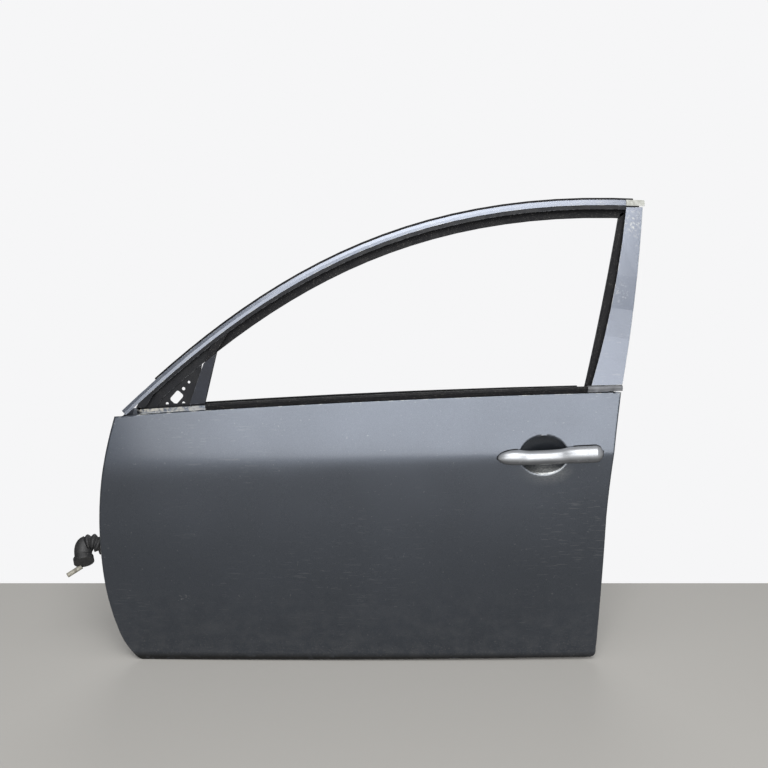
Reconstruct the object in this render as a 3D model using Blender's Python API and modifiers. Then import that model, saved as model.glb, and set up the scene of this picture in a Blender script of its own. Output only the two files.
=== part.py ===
"""A front door shell of a saloon car: skin, inner panel, window frame, handle and latch.

Metres, +Z up. X runs from the door's front edge to its rear edge, Y from the outside of the
car to the inside. The origin is the middle of the lower hinge's mounting face.
"""
import math

import bmesh
import bpy
from mathutils import Matrix, Vector

# Sheets, gaps and clearances
SKIN_SHEET = 0.0008
PANEL_SHEET = 0.0009
FRAME_SHEET = 0.0012
GAP = 0.0003
FACET_GAP = 0.0007
RUN_CLEARANCE = 0.0006

# Outline of the skin, seen from outside
FRONT_REACH = 0.041
FRONT_REACH_HEIGHT = 0.120
FRONT_TOP_SWEEP = 0.049
FRONT_BOTTOM_SWEEP = 0.050
FRONT_CORNER_HEIGHT = 0.080
FRONT_CORNER_LENGTH = 0.021
REAR_EDGE = 1.097
REAR_SWEEP = 0.022
REAR_SWEEP_HEIGHT = 0.200
REAR_CORNER = 0.012
BOTTOM_EDGE = -0.165
BOTTOM_RISE = 0.008
BELT_FRONT = 0.432
BELT_REAR = 0.486
BELT_ARCH = 0.008

# Depth of the skin and of the window's side surface
BULGE = 0.055
TUCK = 0.025
BULGE_SHARE = 0.62
CREASE_SHARE = 0.796
CREASE_SOFT_FRONT = 0.030
CREASE_SOFT_REAR = 0.005
BELT_DEPTH = -0.030
BELT_DATUM = 0.485
SIDE_LEAN = 0.17
SIDE_RADIUS = 1.5
PLAN_BOW = 0.010
PLAN_BOW_MIDDLE = 0.620
PLAN_BOW_REACH = 0.660
OUTLINE_STEP = 0.003

# Place of the handle, and the hand dish behind it
HANDLE_SETBACK = 0.0165
GRIP_LENGTH = 0.2315
CAP_LENGTH = 0.0365
GRIP_REAR = REAR_EDGE - HANDLE_SETBACK
GRIP_FRONT = GRIP_REAR - GRIP_LENGTH
GRIP_SEAM = GRIP_REAR - CAP_LENGTH
GRIP_FRONT_HEIGHT = 0.3455
GRIP_REAR_HEIGHT = 0.3550
DISH_X = GRIP_FRONT + 0.102
DISH_Z = GRIP_FRONT_HEIGHT + 0.0045
DISH_HALF_LENGTH = 0.054
DISH_HALF_HEIGHT = 0.044
DISH_DEPTH = 0.022

# Hem, belt ledge and the inner panel
HEM_RETURN = 0.010
LEDGE_DEPTH = 0.004
LEDGE_RISE = 0.001
LEDGE_FLANGE = 0.010
FLANGE_WIDTH = 0.012
WALL_SETBACK = 0.018
REAR_SETBACK = 0.013
BOTTOM_SETBACK = 0.015
PAN_DEPTH = 0.042
WAIST_STEP = 0.008
PAN_RADIUS = 0.010
PAN_DRAFT_DEPTH = 0.008

# Window frame
HEADER_START = (0.025, 0.4455)
HEADER_PULL_A = (0.316, 0.7129)
HEADER_PULL_B = (0.628, 0.9193)
HEADER_END = (1.1755, 0.8911)
HEADER_CAP_START = 1.1350
HEADER_STEPS = 24
WINDOW_FRONT_BOTTOM = (0.2090, 0.465)
WINDOW_FRONT_TOP = (0.2367, 0.578)
WINDOW_REAR_BOTTOM = (1.0456, 0.506)
WINDOW_REAR_TOP = (1.1200, 0.847)
BAR_WIDTH_BOTTOM = 0.031
BAR_WIDTH_TOP = 0.019
BAR_RAIL_WIDTH = 0.018
FRAME_WIDTH = 0.040
FRAME_DEPTH = 0.036
FACE_LAP = 0.0014
RUN_DEPTH = 0.017
RUN_WALL = 0.002
GLASS_LEAN = 0.12
FRAME_FOOT_X = 0.052
FRAME_FOOT_BOTTOM = 0.375
FRAME_FOOT_TOP = 0.452
FRAME_JOIN_X = 0.080
FRAME_REAR_FOOT = 0.405
BELT_CUT_TOP = 0.016
BELT_CUT_LOW = 0.130
BELT_CUT_DEPTH = 0.0145
MOULDING_WIDTH_FRONT = 0.0130
MOULDING_WIDTH_REAR = 0.0110
MOULDING_CLEARANCE = 0.0018
PILLAR_TOP_LEFT = 1.1345
PILLAR_MIDDLE_LEFT = 1.1005
PILLAR_BOTTOM_LEFT = 1.054
PILLAR_TOP_RIGHT = 1.1715
PILLAR_MIDDLE_RIGHT = 1.1485
PILLAR_BOTTOM_RIGHT = 1.1210
PILLAR_LOW = 0.5020
PILLAR_HIGH = 0.8775
PILLAR_STEPS = (0.86, 0.80, 0.73, 0.66, 0.60, 0.55, 0.505)
BAR_STEPS = (0.490, 0.530)

# Seals and the mirror bracket
SEAL_RISE = 0.0145
SEAL_CAP_START = 1.045
WAIST_LIP = 0.012
WAIST_LIP_RISE = 0.002
SAIL_TUCK = 0.010
SAIL_DEPTH = 0.0214
SAIL_CLEARANCE = 0.0007
SAIL_WINDOW = (0.1423, 0.4701)
SAIL_HOLES = (((0.1698, 0.5035), 0.0020), ((0.1577, 0.4891), 0.0028), ((0.1575, 0.4578), 0.0024),
              ((0.1211, 0.4563), 0.0024))

# Openings of the inner panel
SPEAKER_RADIUS = 0.078
CLIP_HOLE = 0.004
CLIP_HOLES = ((0.070, -0.100), (0.320, -0.130), (0.560, -0.128), (0.800, -0.126), (1.040, -0.124), (0.060, 0.140),
              (0.060, 0.330), (0.380, 0.350), (0.640, 0.370), (0.780, 0.200), (0.800, -0.010), (1.055, 0.300))

# Hinges, beam and rails
HINGE_CENTRE_Y = 0.0
CHECK_HEIGHT = 0.205
BEAM_Y = -0.019
RAIL_BOTTOM = 0.090
LOWER_HINGE_HEIGHT = 0.0
UPPER_HINGE_HEIGHT = 0.300
HINGE_BOLT_PITCH = 0.044
HINGE_BOLT_HOLE = 0.0045
HINGE_PLATE = 0.0025
HINGE_PLATE_HALF = 0.0215
BEAM_RADIUS = 0.016
BEAM_WALL = 0.002
BEAM_FRONT_HEIGHT = 0.0
BEAM_REAR_HEIGHT = -0.045

# Handle and its linkage
GRIP_HALF_FRONT = 0.0170
GRIP_HALF_MIDDLE = 0.0155
GRIP_HALF_REAR = 0.0190
GRIP_TIP = 0.040
GRIP_END = 0.016
GRIP_THICKNESS = 0.016
GRIP_LIFT = 0.006
GRIP_SLIMS = (0.036, 0.081)
GRIP_SWELLS = (0.1205, 0.0505)
LIFT_STARTS = (0.046, 0.066)
LIFT_ENDS = (0.059, 0.039)
HOOK_BACK = -0.0365
HOOK_LIP = 0.004
HOOK_LOW = GRIP_FRONT_HEIGHT - 0.0045
HOOK_HIGH = GRIP_FRONT_HEIGHT + 0.0075
GASKET = 0.0015
GASKET_RIM = 0.0010
GASKET_WIDTH = 0.0030
GASKET_FRONT_LENGTH = 0.0445
GASKET_REAR_REACH = 0.028
PULL_ANGLE = 6.5
CRANK_X = GRIP_SEAM + 0.007
CRANK_PIVOT_Y = -0.031
CRANK_LEVER = 0.031
CRANK_LEVER_HALF = 0.0025
CRANK_WIDTH = 0.006
CRANK_PIN = 0.0025
CRANK_START = 24.0
ROCKER_HUB = 0.006
ARM_PIN = 0.002
ARM_CLEARANCE = 0.0005
ROD_RADIUS = 0.0015
ROD_OFFSET = 0.018
ROD_CLEARANCE = 0.0005
CARRIER_BACK = -0.0258
CARRIER_REAR = CRANK_X + 0.015
CARRIER_LOW = GRIP_FRONT_HEIGHT - 0.0155
CARRIER_WIDTH = 0.014

# Latch
LATCH_Z = 0.110
LATCH_HEIGHT = 0.084
LATCH_DEPTH = 0.018
LATCH_PLATE = 0.002
LATCH_MOUTH = 0.0075
LATCH_MOUTH_DEPTH = 0.002
LATCH_LEVER_Z = 0.128
CLAW_PIVOT_Y = -0.004
CLAW_PIVOT_RISE = 0.0125
CLAW_RADIUS = 0.0262
CLAW_PIN = 0.004
CLAW_MOUTH_ANGLE = -30.0
SCREW_RADIUS = 0.0028

# Harness boot
BOOT_Y = -0.012
BOOT_Z = 0.106
BOOT_HOLE = 0.014
BOOT_RADIUS = 0.018

door = bpy.data.collections.new("car_door_shell")
cutters = bpy.data.collections.new("cutters")


def clear_scene():
    for item in list(bpy.data.objects):
        bpy.data.objects.remove(item, do_unlink=True)
    bpy.context.scene.collection.children.link(door)
    bpy.context.scene.collection.children.link(cutters)


def material(name, colour, roughness, metallic=0.0):
    found = bpy.data.materials.get(name)
    if found:
        return found
    made = bpy.data.materials.new(name)
    made.use_nodes = True
    shader = made.node_tree.nodes["Principled BSDF"]
    shader.inputs["Base Color"].default_value = (*colour, 1.0)
    shader.inputs["Roughness"].default_value = roughness
    shader.inputs["Metallic"].default_value = metallic
    made.diffuse_color = (*colour, 1.0)
    return made


def paint():
    return material("grey_metallic_paint", (0.20, 0.21, 0.24), 0.35, 0.6)


def black_steel():
    return material("black_painted_steel", (0.02, 0.02, 0.022), 0.5)


def rubber():
    return material("black_rubber", (0.012, 0.012, 0.013), 0.8)


def zinc_steel():
    return material("zinc_plated_steel", (0.55, 0.55, 0.52), 0.4, 1.0)


def black_plastic():
    return material("black_plastic", (0.02, 0.02, 0.02), 0.5)


def pale_plastic():
    return material("grey_plastic", (0.35, 0.34, 0.31), 0.5)


def silver_plastic():
    return material("silver_painted_plastic", (0.62, 0.62, 0.62), 0.3, 0.5)


def add(name, mesh, look, smooth=True):
    mesh.name = name
    made = bpy.data.objects.new(name, mesh)
    door.objects.link(made)
    mesh.materials.clear()
    mesh.materials.append(look)
    if smooth:
        mesh.shade_smooth()
        mesh.set_sharp_from_angle(angle=math.radians(35))
    return made


def from_bmesh(name, shape, look, smooth=True):
    bmesh.ops.recalc_face_normals(shape, faces=shape.faces)
    mesh = bpy.data.meshes.new(name)
    shape.to_mesh(mesh)
    shape.free()
    return add(name, mesh, look, smooth)


def use_as_cutter(item):
    for owner in list(item.users_collection):
        owner.objects.unlink(item)
    cutters.objects.link(item)
    item.hide_render = True
    item.display_type = "WIRE"
    return item


def boolean(item, tool, operation="DIFFERENCE"):
    step = item.modifiers.new(operation.lower(), "BOOLEAN")
    step.operation = operation
    step.solver = "EXACT"
    step.object = use_as_cutter(tool)
    return step


def box(name, low, high, look=None, bevel=0.0):
    shape = bmesh.new()
    bmesh.ops.create_cube(shape, size=1.0)
    low, high = Vector(low), Vector(high)
    size = high - low
    bmesh.ops.scale(shape, vec=size, verts=shape.verts)
    bmesh.ops.translate(shape, vec=(low + high) / 2, verts=shape.verts)
    made = from_bmesh(name, shape, look or black_plastic(), smooth=False)
    if bevel:
        step = made.modifiers.new("bevel", "BEVEL")
        step.width = bevel
        step.segments = 2
    return made


def drum(name, start, end, radius, look=None, sides=20, end_radius=None):
    start, end = Vector(start), Vector(end)
    shape = bmesh.new()
    bmesh.ops.create_cone(shape, cap_ends=True, segments=sides, radius1=radius,
                          radius2=radius if end_radius is None else end_radius,
                          depth=(end - start).length)
    turn = Vector((0, 0, 1)).rotation_difference(end - start).to_matrix().to_4x4()
    bmesh.ops.transform(shape, matrix=Matrix.Translation((start + end) / 2) @ turn, verts=shape.verts)
    return from_bmesh(name, shape, look or black_plastic())


def arc(centre, radius, start, end, steps):
    angles = [math.radians(start + (end - start) * i / steps) for i in range(steps + 1)]
    return [(centre[0] + radius * math.cos(a), centre[1] + radius * math.sin(a)) for a in angles]


def rounded(centre, half_length, half_height, radius, turn=0.0, steps=3):
    corners = ((1, 1, 0), (-1, 1, 90), (-1, -1, 180), (1, -1, 270))
    points = []
    for sx, sz, start in corners:
        middle = (sx * (half_length - radius), sz * (half_height - radius))
        points += arc(middle, radius, start, start + 90, steps)
    c, s = math.cos(math.radians(turn)), math.sin(math.radians(turn))
    return [(centre[0] + x * c - z * s, centre[1] + x * s + z * c) for x, z in points]


def flat(name, outlines, thickness, look, plane):
    """A plate from closed outlines in the plane's own axes; the later outlines are holes."""
    curve = bpy.data.curves.new(name, "CURVE")
    curve.dimensions = "2D"
    curve.fill_mode = "BOTH"
    curve.extrude = thickness / 2
    for outline in outlines:
        spline = curve.splines.new("POLY")
        spline.points.add(len(outline) - 1)
        for point, place in zip(spline.points, outline):
            point.co = (place[0], place[1], 0.0, 1.0)
        spline.use_cyclic_u = True
    guide = bpy.data.objects.new(name + "_outline", curve)
    cutters.objects.link(guide)
    guide.matrix_world = plane
    return as_mesh(name, guide, look)


def as_mesh(name, guide, look):
    """Turns a curve object into a mesh object with welded caps and drops the curve."""
    bpy.context.view_layer.update()
    ready = guide.evaluated_get(bpy.context.evaluated_depsgraph_get())
    mesh = bpy.data.meshes.new_from_object(ready)
    shape = bmesh.new()
    shape.from_mesh(mesh)
    bpy.data.meshes.remove(mesh)
    bmesh.ops.remove_doubles(shape, verts=shape.verts, dist=0.00001)
    bmesh.ops.transform(shape, matrix=guide.matrix_world, verts=shape.verts)
    bpy.data.objects.remove(guide, do_unlink=True)
    return from_bmesh(name, shape, look)


def facing(origin, across, up):
    """A plane's matrix from its origin, its first axis and roughly its second one."""
    x = Vector(across).normalized()
    z = x.cross(Vector(up)).normalized()
    y = z.cross(x)
    turn = Matrix((x, y, z)).transposed().to_4x4()
    return Matrix.Translation(Vector(origin)) @ turn


def tube(name, points, radius, look, sizes=None, resolution=2):
    curve = bpy.data.curves.new(name, "CURVE")
    curve.dimensions = "3D"
    curve.bevel_depth = radius
    curve.bevel_resolution = resolution
    curve.use_fill_caps = True
    spline = curve.splines.new("POLY")
    spline.points.add(len(points) - 1)
    for i, place in enumerate(points):
        spline.points[i].co = (*place, 1.0)
        spline.points[i].radius = sizes[i] if sizes else 1.0
    guide = bpy.data.objects.new(name + "_route", curve)
    cutters.objects.link(guide)
    return as_mesh(name, guide, look)


def smooth_route(knots, steps):
    """Points along a Catmull-Rom curve through the knots."""
    knots = [Vector(k) for k in knots]
    full = [2 * knots[0] - knots[1]] + knots + [2 * knots[-1] - knots[-2]]
    points = []
    for i in range(1, len(full) - 2):
        a, b, c, d = full[i - 1:i + 3]
        for k in range(steps):
            t = k / steps
            points.append(0.5 * (2 * b + (c - a) * t + (2 * a - 5 * b + 4 * c - d) * t * t
                                 + (3 * b - a - 3 * c + d) * t ** 3))
    return points + [knots[-1]]


# Form of the door's side
def bottom_z(x):
    return BOTTOM_EDGE + BOTTOM_RISE * x / REAR_EDGE


def belt_z(x):
    t = x / (REAR_EDGE + REAR_SWEEP)
    return BELT_FRONT + (BELT_REAR - BELT_FRONT) * t + 4 * BELT_ARCH * t * (1 - t)


def front_x(z):
    above = max(z - FRONT_REACH_HEIGHT, 0) / (BELT_FRONT - FRONT_REACH_HEIGHT)
    below = max(FRONT_REACH_HEIGHT - z, 0) / (FRONT_REACH_HEIGHT - BOTTOM_EDGE)
    corner = min(max(BOTTOM_EDGE + FRONT_CORNER_HEIGHT - z, 0) / FRONT_CORNER_HEIGHT, 1)
    round_off = FRONT_CORNER_LENGTH * (1 - math.sqrt(1 - corner * corner))
    return -FRONT_REACH + FRONT_TOP_SWEEP * above ** 2.1 + FRONT_BOTTOM_SWEEP * below ** 2.3 + round_off


def rear_x(z):
    lift = max(z - REAR_SWEEP_HEIGHT, 0) / (BELT_REAR - REAR_SWEEP_HEIGHT)
    low = BOTTOM_EDGE + BOTTOM_RISE + REAR_CORNER - z
    corner = min(max(low, 0) / REAR_CORNER, 1)
    return REAR_EDGE + REAR_SWEEP * lift ** 1.5 - REAR_CORNER * (1 - math.sqrt(1 - corner * corner))


def bow(x):
    return PLAN_BOW * ((x - PLAN_BOW_MIDDLE) / PLAN_BOW_REACH) ** 2


def side_y(x, z):
    """Depth of the glass and frame side surface."""
    rise = z - BELT_DATUM
    return BELT_DEPTH + SIDE_LEAN * rise + rise * rise / (2 * SIDE_RADIUS) + bow(x)


def soft_ramp(distance, softness):
    power = distance / softness
    return distance if power > 30 else softness * math.log(1 + math.exp(power))


def skin_y(x, z):
    """Depth of the skin's outer face."""
    share = (z - bottom_z(x)) / (belt_z(x) - bottom_z(x))
    along = min(max(x / REAR_EDGE, 0), 1)
    low = -BULGE + TUCK * max(1 - share / BULGE_SHARE, 0) ** 2
    softness = CREASE_SOFT_FRONT + (CREASE_SOFT_REAR - CREASE_SOFT_FRONT) * along
    ramp = soft_ramp(share - CREASE_SHARE, softness) / soft_ramp(1 - CREASE_SHARE, softness)
    rise = side_y(x, belt_z(x)) - bow(x) + BULGE
    across = (x - DISH_X) / DISH_HALF_LENGTH
    up = (z - DISH_Z) / DISH_HALF_HEIGHT
    dish = DISH_DEPTH * max(1 - across * across - up * up, 0)
    return low + rise * ramp + bow(x) + dish


def skin_xz(u, v):
    """Place on the skin's outline grid: u from front to rear, v from bottom to belt."""
    front_height = BOTTOM_EDGE + v * (BELT_FRONT - BOTTOM_EDGE)
    rear_height = bottom_z(REAR_EDGE) + v * (BELT_REAR - bottom_z(REAR_EDGE))
    x = front_x(front_height) * (1 - u) + rear_x(rear_height) * u
    z = bottom_z(x) + v * (belt_z(x) - bottom_z(x))
    return x, z


def spread(start, end, count):
    return [start + (end - start) * i / count for i in range(count)]


def corner_rows():
    share = FRONT_CORNER_HEIGHT / (BELT_FRONT - BOTTOM_EDGE)
    return [share * (1 - math.cos(math.radians(a))) for a in (0, 20, 38, 55, 72)]


def skin_rows():
    """Rows of the skin: close at the rounded corner and across the hand dish."""
    height = belt_z(DISH_X) - bottom_z(DISH_X)
    low = (DISH_Z - DISH_HALF_HEIGHT - bottom_z(DISH_X)) / height
    high = (DISH_Z + DISH_HALF_HEIGHT - bottom_z(DISH_X)) / height
    rows = corner_rows() + spread(0.14, low - 0.01, 7) + spread(low - 0.005, CREASE_SHARE, 6)
    return rows + spread(CREASE_SHARE, high + 0.005, 6) + spread(high + 0.01, 1.0, 3) + [0.985, 1.0]


def skin_columns():
    start = front_x(DISH_Z)
    length = rear_x(DISH_Z) - start
    low = (DISH_X - DISH_HALF_LENGTH - start) / length
    high = (DISH_X + DISH_HALF_LENGTH - start) / length
    columns = [0.0, 0.012] + spread(0.04, low - 0.01, 8) + spread(low - 0.004, high + 0.004, 12)
    return columns + spread(high + 0.008, 0.988, 3) + [0.988, 1.0]


def surface_grid(columns, rows, place):
    """A square grid whose point (i, j) is put at place(columns[i], rows[j])."""
    shape = bmesh.new()
    bmesh.ops.create_grid(shape, x_segments=len(columns) - 1, y_segments=len(rows) - 1, size=1.0)
    index = {}
    for vert in shape.verts:
        i = round((vert.co.x + 1) / 2 * (len(columns) - 1))
        j = round((vert.co.y + 1) / 2 * (len(rows) - 1))
        vert.co = place(columns[i], rows[j])
        index[vert] = (columns[i], rows[j])
    return shape, index


def extrude_edge(shape, index, keep, places):
    """Extrudes the open border whose points pass keep(u, v) through the given places in turn."""
    edges = [e for e in shape.edges if e.is_boundary and all(keep(*index[v]) for v in e.verts)]
    for place in places:
        made = bmesh.ops.extrude_edge_only(shape, edges=edges)["geom"]
        fresh = [g for g in made if isinstance(g, bmesh.types.BMVert)]
        old = {tuple(v.co): index[v] for e in edges for v in e.verts}
        for vert in fresh:
            index[vert] = old[tuple(vert.co)]
        for vert in fresh:
            vert.co = place(*index[vert])
        edges = [g for g in made if isinstance(g, bmesh.types.BMEdge)
                 and g.verts[0] in fresh and g.verts[1] in fresh]


def thicken(item, thickness, offset=-1.0):
    step = item.modifiers.new("sheet", "SOLIDIFY")
    step.thickness = thickness
    step.offset = offset
    step.use_even_offset = True
    return step


def edge_inset(u, v, amount):
    """The outline point (u, v) moved inwards by the amount, square to the outline."""
    x, z = skin_xz(u, v)
    inward = Vector((0, 0))
    if v == 0.0:
        inward += Vector((0, 1))
    if u in (0.0, 1.0):
        above = Vector(skin_xz(u, min(v + OUTLINE_STEP, 1)))
        below = Vector(skin_xz(u, max(v - OUTLINE_STEP, 0)))
        along = (above - below).normalized()
        inward += Vector((along.y, -along.x)) * (1 if u == 0.0 else -1)
    inward.normalize()
    return x + inward.x * amount, z + inward.y * amount


def build_skin():
    columns, rows = skin_columns(), skin_rows()

    def on_face(u, v):
        x, z = skin_xz(u, v)
        return Vector((x, skin_y(x, z), z))

    shape, index = surface_grid(columns, rows, on_face)
    fold = 2 * SKIN_SHEET + PANEL_SHEET + 2 * GAP

    def hem_back(u, v):
        return on_face(u, v) + Vector((0, fold, 0))

    def hem_return(u, v):
        x, z = edge_inset(u, v, HEM_RETURN)
        return Vector((x, skin_y(x, z) + fold, z))

    extrude_edge(shape, index, lambda u, v: u in (0.0, 1.0) or v == 0.0, (hem_back, hem_return))

    def ledge(u, v):
        return on_face(u, v) + Vector((0, LEDGE_DEPTH, LEDGE_RISE))

    def flange(u, v):
        return ledge(u, v) + Vector((0, 0, LEDGE_FLANGE))

    first, last = columns[2], columns[-3]
    extrude_edge(shape, index, lambda u, v: v == 1.0 and first <= u <= last, (ledge, flange))
    skin = from_bmesh("outer_skin", shape, paint())
    turn_outwards(skin, Vector((0, -1, 0)))
    thicken(skin, SKIN_SHEET)
    for low, high in handle_openings():
        boolean(skin, box("handle_opening_cutter", low, high, bevel=0.003))
    return skin


def turn_outwards(item, direction):
    """Flips an open sheet whose widest face looks away from the direction."""
    widest = max(item.data.polygons, key=lambda face: face.area)
    if widest.normal.dot(direction) < 0:
        item.data.flip_normals()


def handle_openings():
    """Corners of the three holes in the skin: for the grip's hook, its arm and the cap's stub."""
    low, high = -0.080, -0.030
    hook = ((GRIP_FRONT + 0.020, low, HOOK_LOW - 0.003), (GRIP_FRONT + 0.036, high, HOOK_HIGH + 0.003))
    z = grip_height(CRANK_X)
    arm = ((GRIP_SEAM - 0.0110, low, z - 0.0110), (CRANK_X + CRANK_WIDTH + 0.001, high, z + 0.0110))
    z = grip_height(CARRIER_REAR)
    stub = ((CARRIER_REAR - 0.001, low, z - 0.0060), (CARRIER_REAR + 0.0080, high, z + 0.0060))
    return hook, arm, stub


def wall_front_x(z):
    return max(0.0, front_x(z) + WALL_SETBACK)


def wall_rear_x(z):
    lift = max(z - REAR_SWEEP_HEIGHT - 0.08, 0) / 0.2
    return REAR_EDGE - REAR_SETBACK + 0.020 * lift ** 1.5


def pan_y(z):
    """Depth of the inner panel's trim side."""
    step = min(max((z - 0.20) / 0.02, 0), 1)
    return PAN_DEPTH - WAIST_STEP * step


def pan_xz(u, v, front_in, rear_in, bottom_in):
    """Place on the inner panel's outline, set in from the walls by the given amounts."""
    lift = bottom_in * max(1 - v / 0.2, 0)
    low = BOTTOM_EDGE + v * (BELT_FRONT - BOTTOM_EDGE)
    high = bottom_z(REAR_EDGE) + v * (BELT_REAR - bottom_z(REAR_EDGE))
    front = wall_front_x(low) + front_in
    rear = min(wall_rear_x(high), rear_x(high) - REAR_SETBACK) - rear_in
    x = front * (1 - u) + rear * u
    z = bottom_z(x) + v * (belt_z(x) - bottom_z(x)) + lift
    return x, z


def pan_rows():
    rows = corner_rows() + spread(0.14, 0.62, 5)
    return rows + [r for r in skin_rows() if r > 0.62]


def build_inner_panel():
    rows = pan_rows()
    columns = [0.0] + spread(0.03, 1.0, 10) + [1.0]
    lift = BOTTOM_SETBACK

    def on_face(u, v):
        x, z = pan_xz(u, v, PAN_RADIUS, PAN_RADIUS, lift + PAN_RADIUS)
        return Vector((x, pan_y(z), z))

    shape, index = surface_grid(columns, rows, on_face)

    def wall_top(u, v):
        x, z = pan_xz(u, v, 0, 0, lift)
        return Vector((x, pan_y(z) - PAN_RADIUS, z))

    def wall_root(u, v):
        x, z = pan_xz(u, v, 0, 0, lift)
        return Vector((x, skin_y(x, z) + PAN_DRAFT_DEPTH, z))

    lap = SKIN_SHEET + GAP + PANEL_SHEET

    def flange_root(u, v):
        x, z = edge_inset(u, v, FLANGE_WIDTH)
        return Vector((x, skin_y(x, z) + lap, z))

    def flange_edge(u, v):
        x, z = edge_inset(u, v, SKIN_SHEET + RUN_CLEARANCE)
        return Vector((x, skin_y(x, z) + lap, z))

    extrude_edge(shape, index, lambda u, v: u in (0.0, 1.0) or v == 0.0,
                 (wall_top, wall_root, flange_root, flange_edge))

    def waist_lip(u, v):
        return on_face(u, v) + Vector((0, -WAIST_LIP, WAIST_LIP_RISE))

    first, last = columns[1], columns[-2]
    extrude_edge(shape, index, lambda u, v: v == 1.0 and first <= u <= last, (waist_lip,))
    panel = from_bmesh("inner_panel", shape, paint())
    turn_outwards(panel, Vector((0, 1, 0)))
    thicken(panel, PANEL_SHEET)
    return panel


def loft(name, rings, look, closed=False, smooth=True):
    """Skins equal rings of points in turn; a closed loft joins its last ring to its first."""
    shape = bmesh.new()
    if closed:
        loops = [[shape.verts.new(place) for place in ring] for ring in rings]
        for ring, after in zip(loops, loops[1:] + loops[:1]):
            for i, vert in enumerate(ring):
                k = (i + 1) % len(ring)
                shape.faces.new((vert, ring[k], after[k], after[i]))
        return from_bmesh(name, shape, look, smooth)
    order = [shape.verts.new(place) for place in rings[0]]
    cap = shape.faces.new(order)
    for step, ring in enumerate(rings[1:]):
        made = bmesh.ops.extrude_face_region(shape, geom=[cap])["geom"]
        if step:
            bmesh.ops.delete(shape, geom=[cap], context="FACES_ONLY")
        fresh = {tuple(v.co): v for v in made if isinstance(v, bmesh.types.BMVert)}
        order = [fresh[tuple(v.co)] for v in order]
        cap = next(g for g in made if isinstance(g, bmesh.types.BMFace))
        for vert, place in zip(order, ring):
            vert.co = place
    return from_bmesh(name, shape, look, smooth)


def mitres(path):
    """For each point of a path in the side view: its right-hand normal, scaled for the mitre."""
    points = [Vector(p) for p in path]
    sides = []
    for a, b in zip(points, points[1:]):
        along = (b - a).normalized()
        sides.append(Vector((along.y, -along.x)))
    sides = [sides[0]] + sides + [sides[-1]]
    scaled = []
    for before, after in zip(sides, sides[1:]):
        middle = (before + after).normalized()
        scaled.append(middle / middle.dot(after))
    return scaled


def offset_path(path, amount):
    return [(p[0] + n.x * amount, p[1] + n.y * amount) for p, n in zip(path, mitres(path))]


def sweep_rings(path, profile, depth):
    rings = []
    for i, (point, side) in enumerate(zip(path, mitres(path))):
        section = profile(i / (len(path) - 1)) if callable(profile) else profile
        ring = []
        for across, deep in section:
            x, z = point[0] + side.x * across, point[1] + side.y * across
            ring.append(Vector((x, depth(x, z) + deep, z)))
        rings.append(ring)
    return rings


def sweep(name, path, profile, look, depth=None):
    """Moves a section of (distance to the right, depth) along a path in the side view."""
    return loft(name, sweep_rings(path, profile, depth or sash_y), look)


def ribbon(line, thickness):
    """A closed section of even thickness on the right of an open line."""
    return list(line) + offset_path(line, thickness)[::-1]


def sash_y(x, z):
    """Side surface above the belt, and the run of the glass below it."""
    belt = belt_z(x)
    if z >= belt:
        return side_y(x, z)
    drop = z - belt
    return side_y(x, belt) + GLASS_LEAN * drop + drop * drop / (2 * SIDE_RADIUS)


def header_point(t):
    s = 1 - t
    ends = (HEADER_START, HEADER_PULL_A, HEADER_PULL_B, HEADER_END)
    weights = (s ** 3, 3 * s * s * t, 3 * s * t * t, t ** 3)
    return tuple(sum(w * p[k] for w, p in zip(weights, ends)) for k in (0, 1))


def header_knots(x_start, x_end):
    """The header's shared sample points between two places; pieces that touch use the same ones."""
    knots = [header_point(i / HEADER_STEPS) for i in range(HEADER_STEPS + 1)]
    return [p for p in knots if x_start <= p[0] <= x_end]


def header_chord(x):
    """Height of the header line at x, straight between the shared sample points."""
    knots = header_knots(0.0, 1.2)
    for (xa, za), (xb, zb) in zip(knots, knots[1:]):
        if xa <= x <= xb:
            return za + (zb - za) * (x - xa) / (xb - xa)
    return knots[-1][1]


def trim_ring(before, ring, height):
    """Moves a ring's points along the lines from the ring before until each reaches height(x)."""
    trimmed = []
    for start, end in zip(before, ring):
        share = 1.0
        for _ in range(12):
            place = start.lerp(end, share)
            share += (height(place.x) - place.z) / (end.z - start.z)
        trimmed.append(start.lerp(end, share))
    return trimmed


def window_rear_x(z):
    slope = (WINDOW_REAR_TOP[0] - WINDOW_REAR_BOTTOM[0]) / (WINDOW_REAR_TOP[1] - WINDOW_REAR_BOTTOM[1])
    return WINDOW_REAR_BOTTOM[0] + slope * (z - WINDOW_REAR_BOTTOM[1])


def window_front_slope():
    return (WINDOW_FRONT_TOP[0] - WINDOW_FRONT_BOTTOM[0]) / (WINDOW_FRONT_TOP[1] - WINDOW_FRONT_BOTTOM[1])


def window_front_x(z):
    return WINDOW_FRONT_BOTTOM[0] + window_front_slope() * (z - WINDOW_FRONT_BOTTOM[1])


def pillar_path(heights):
    return [(window_rear_x(z) + FRAME_WIDTH, z) for z in heights]


def frame_path():
    foot = [(FRAME_FOOT_X, FRAME_FOOT_BOTTOM), (FRAME_FOOT_X, FRAME_FOOT_TOP)]
    top = HEADER_END[1]
    corner = (window_rear_x(top) + FRAME_WIDTH, top)
    join = [(FRAME_JOIN_X, header_chord(FRAME_JOIN_X))]
    header = join + header_knots(FRAME_JOIN_X + 0.01, corner[0] - 0.06)
    return foot + header + pillar_path((top, *PILLAR_STEPS, 0.46, FRAME_REAR_FOOT))


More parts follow.
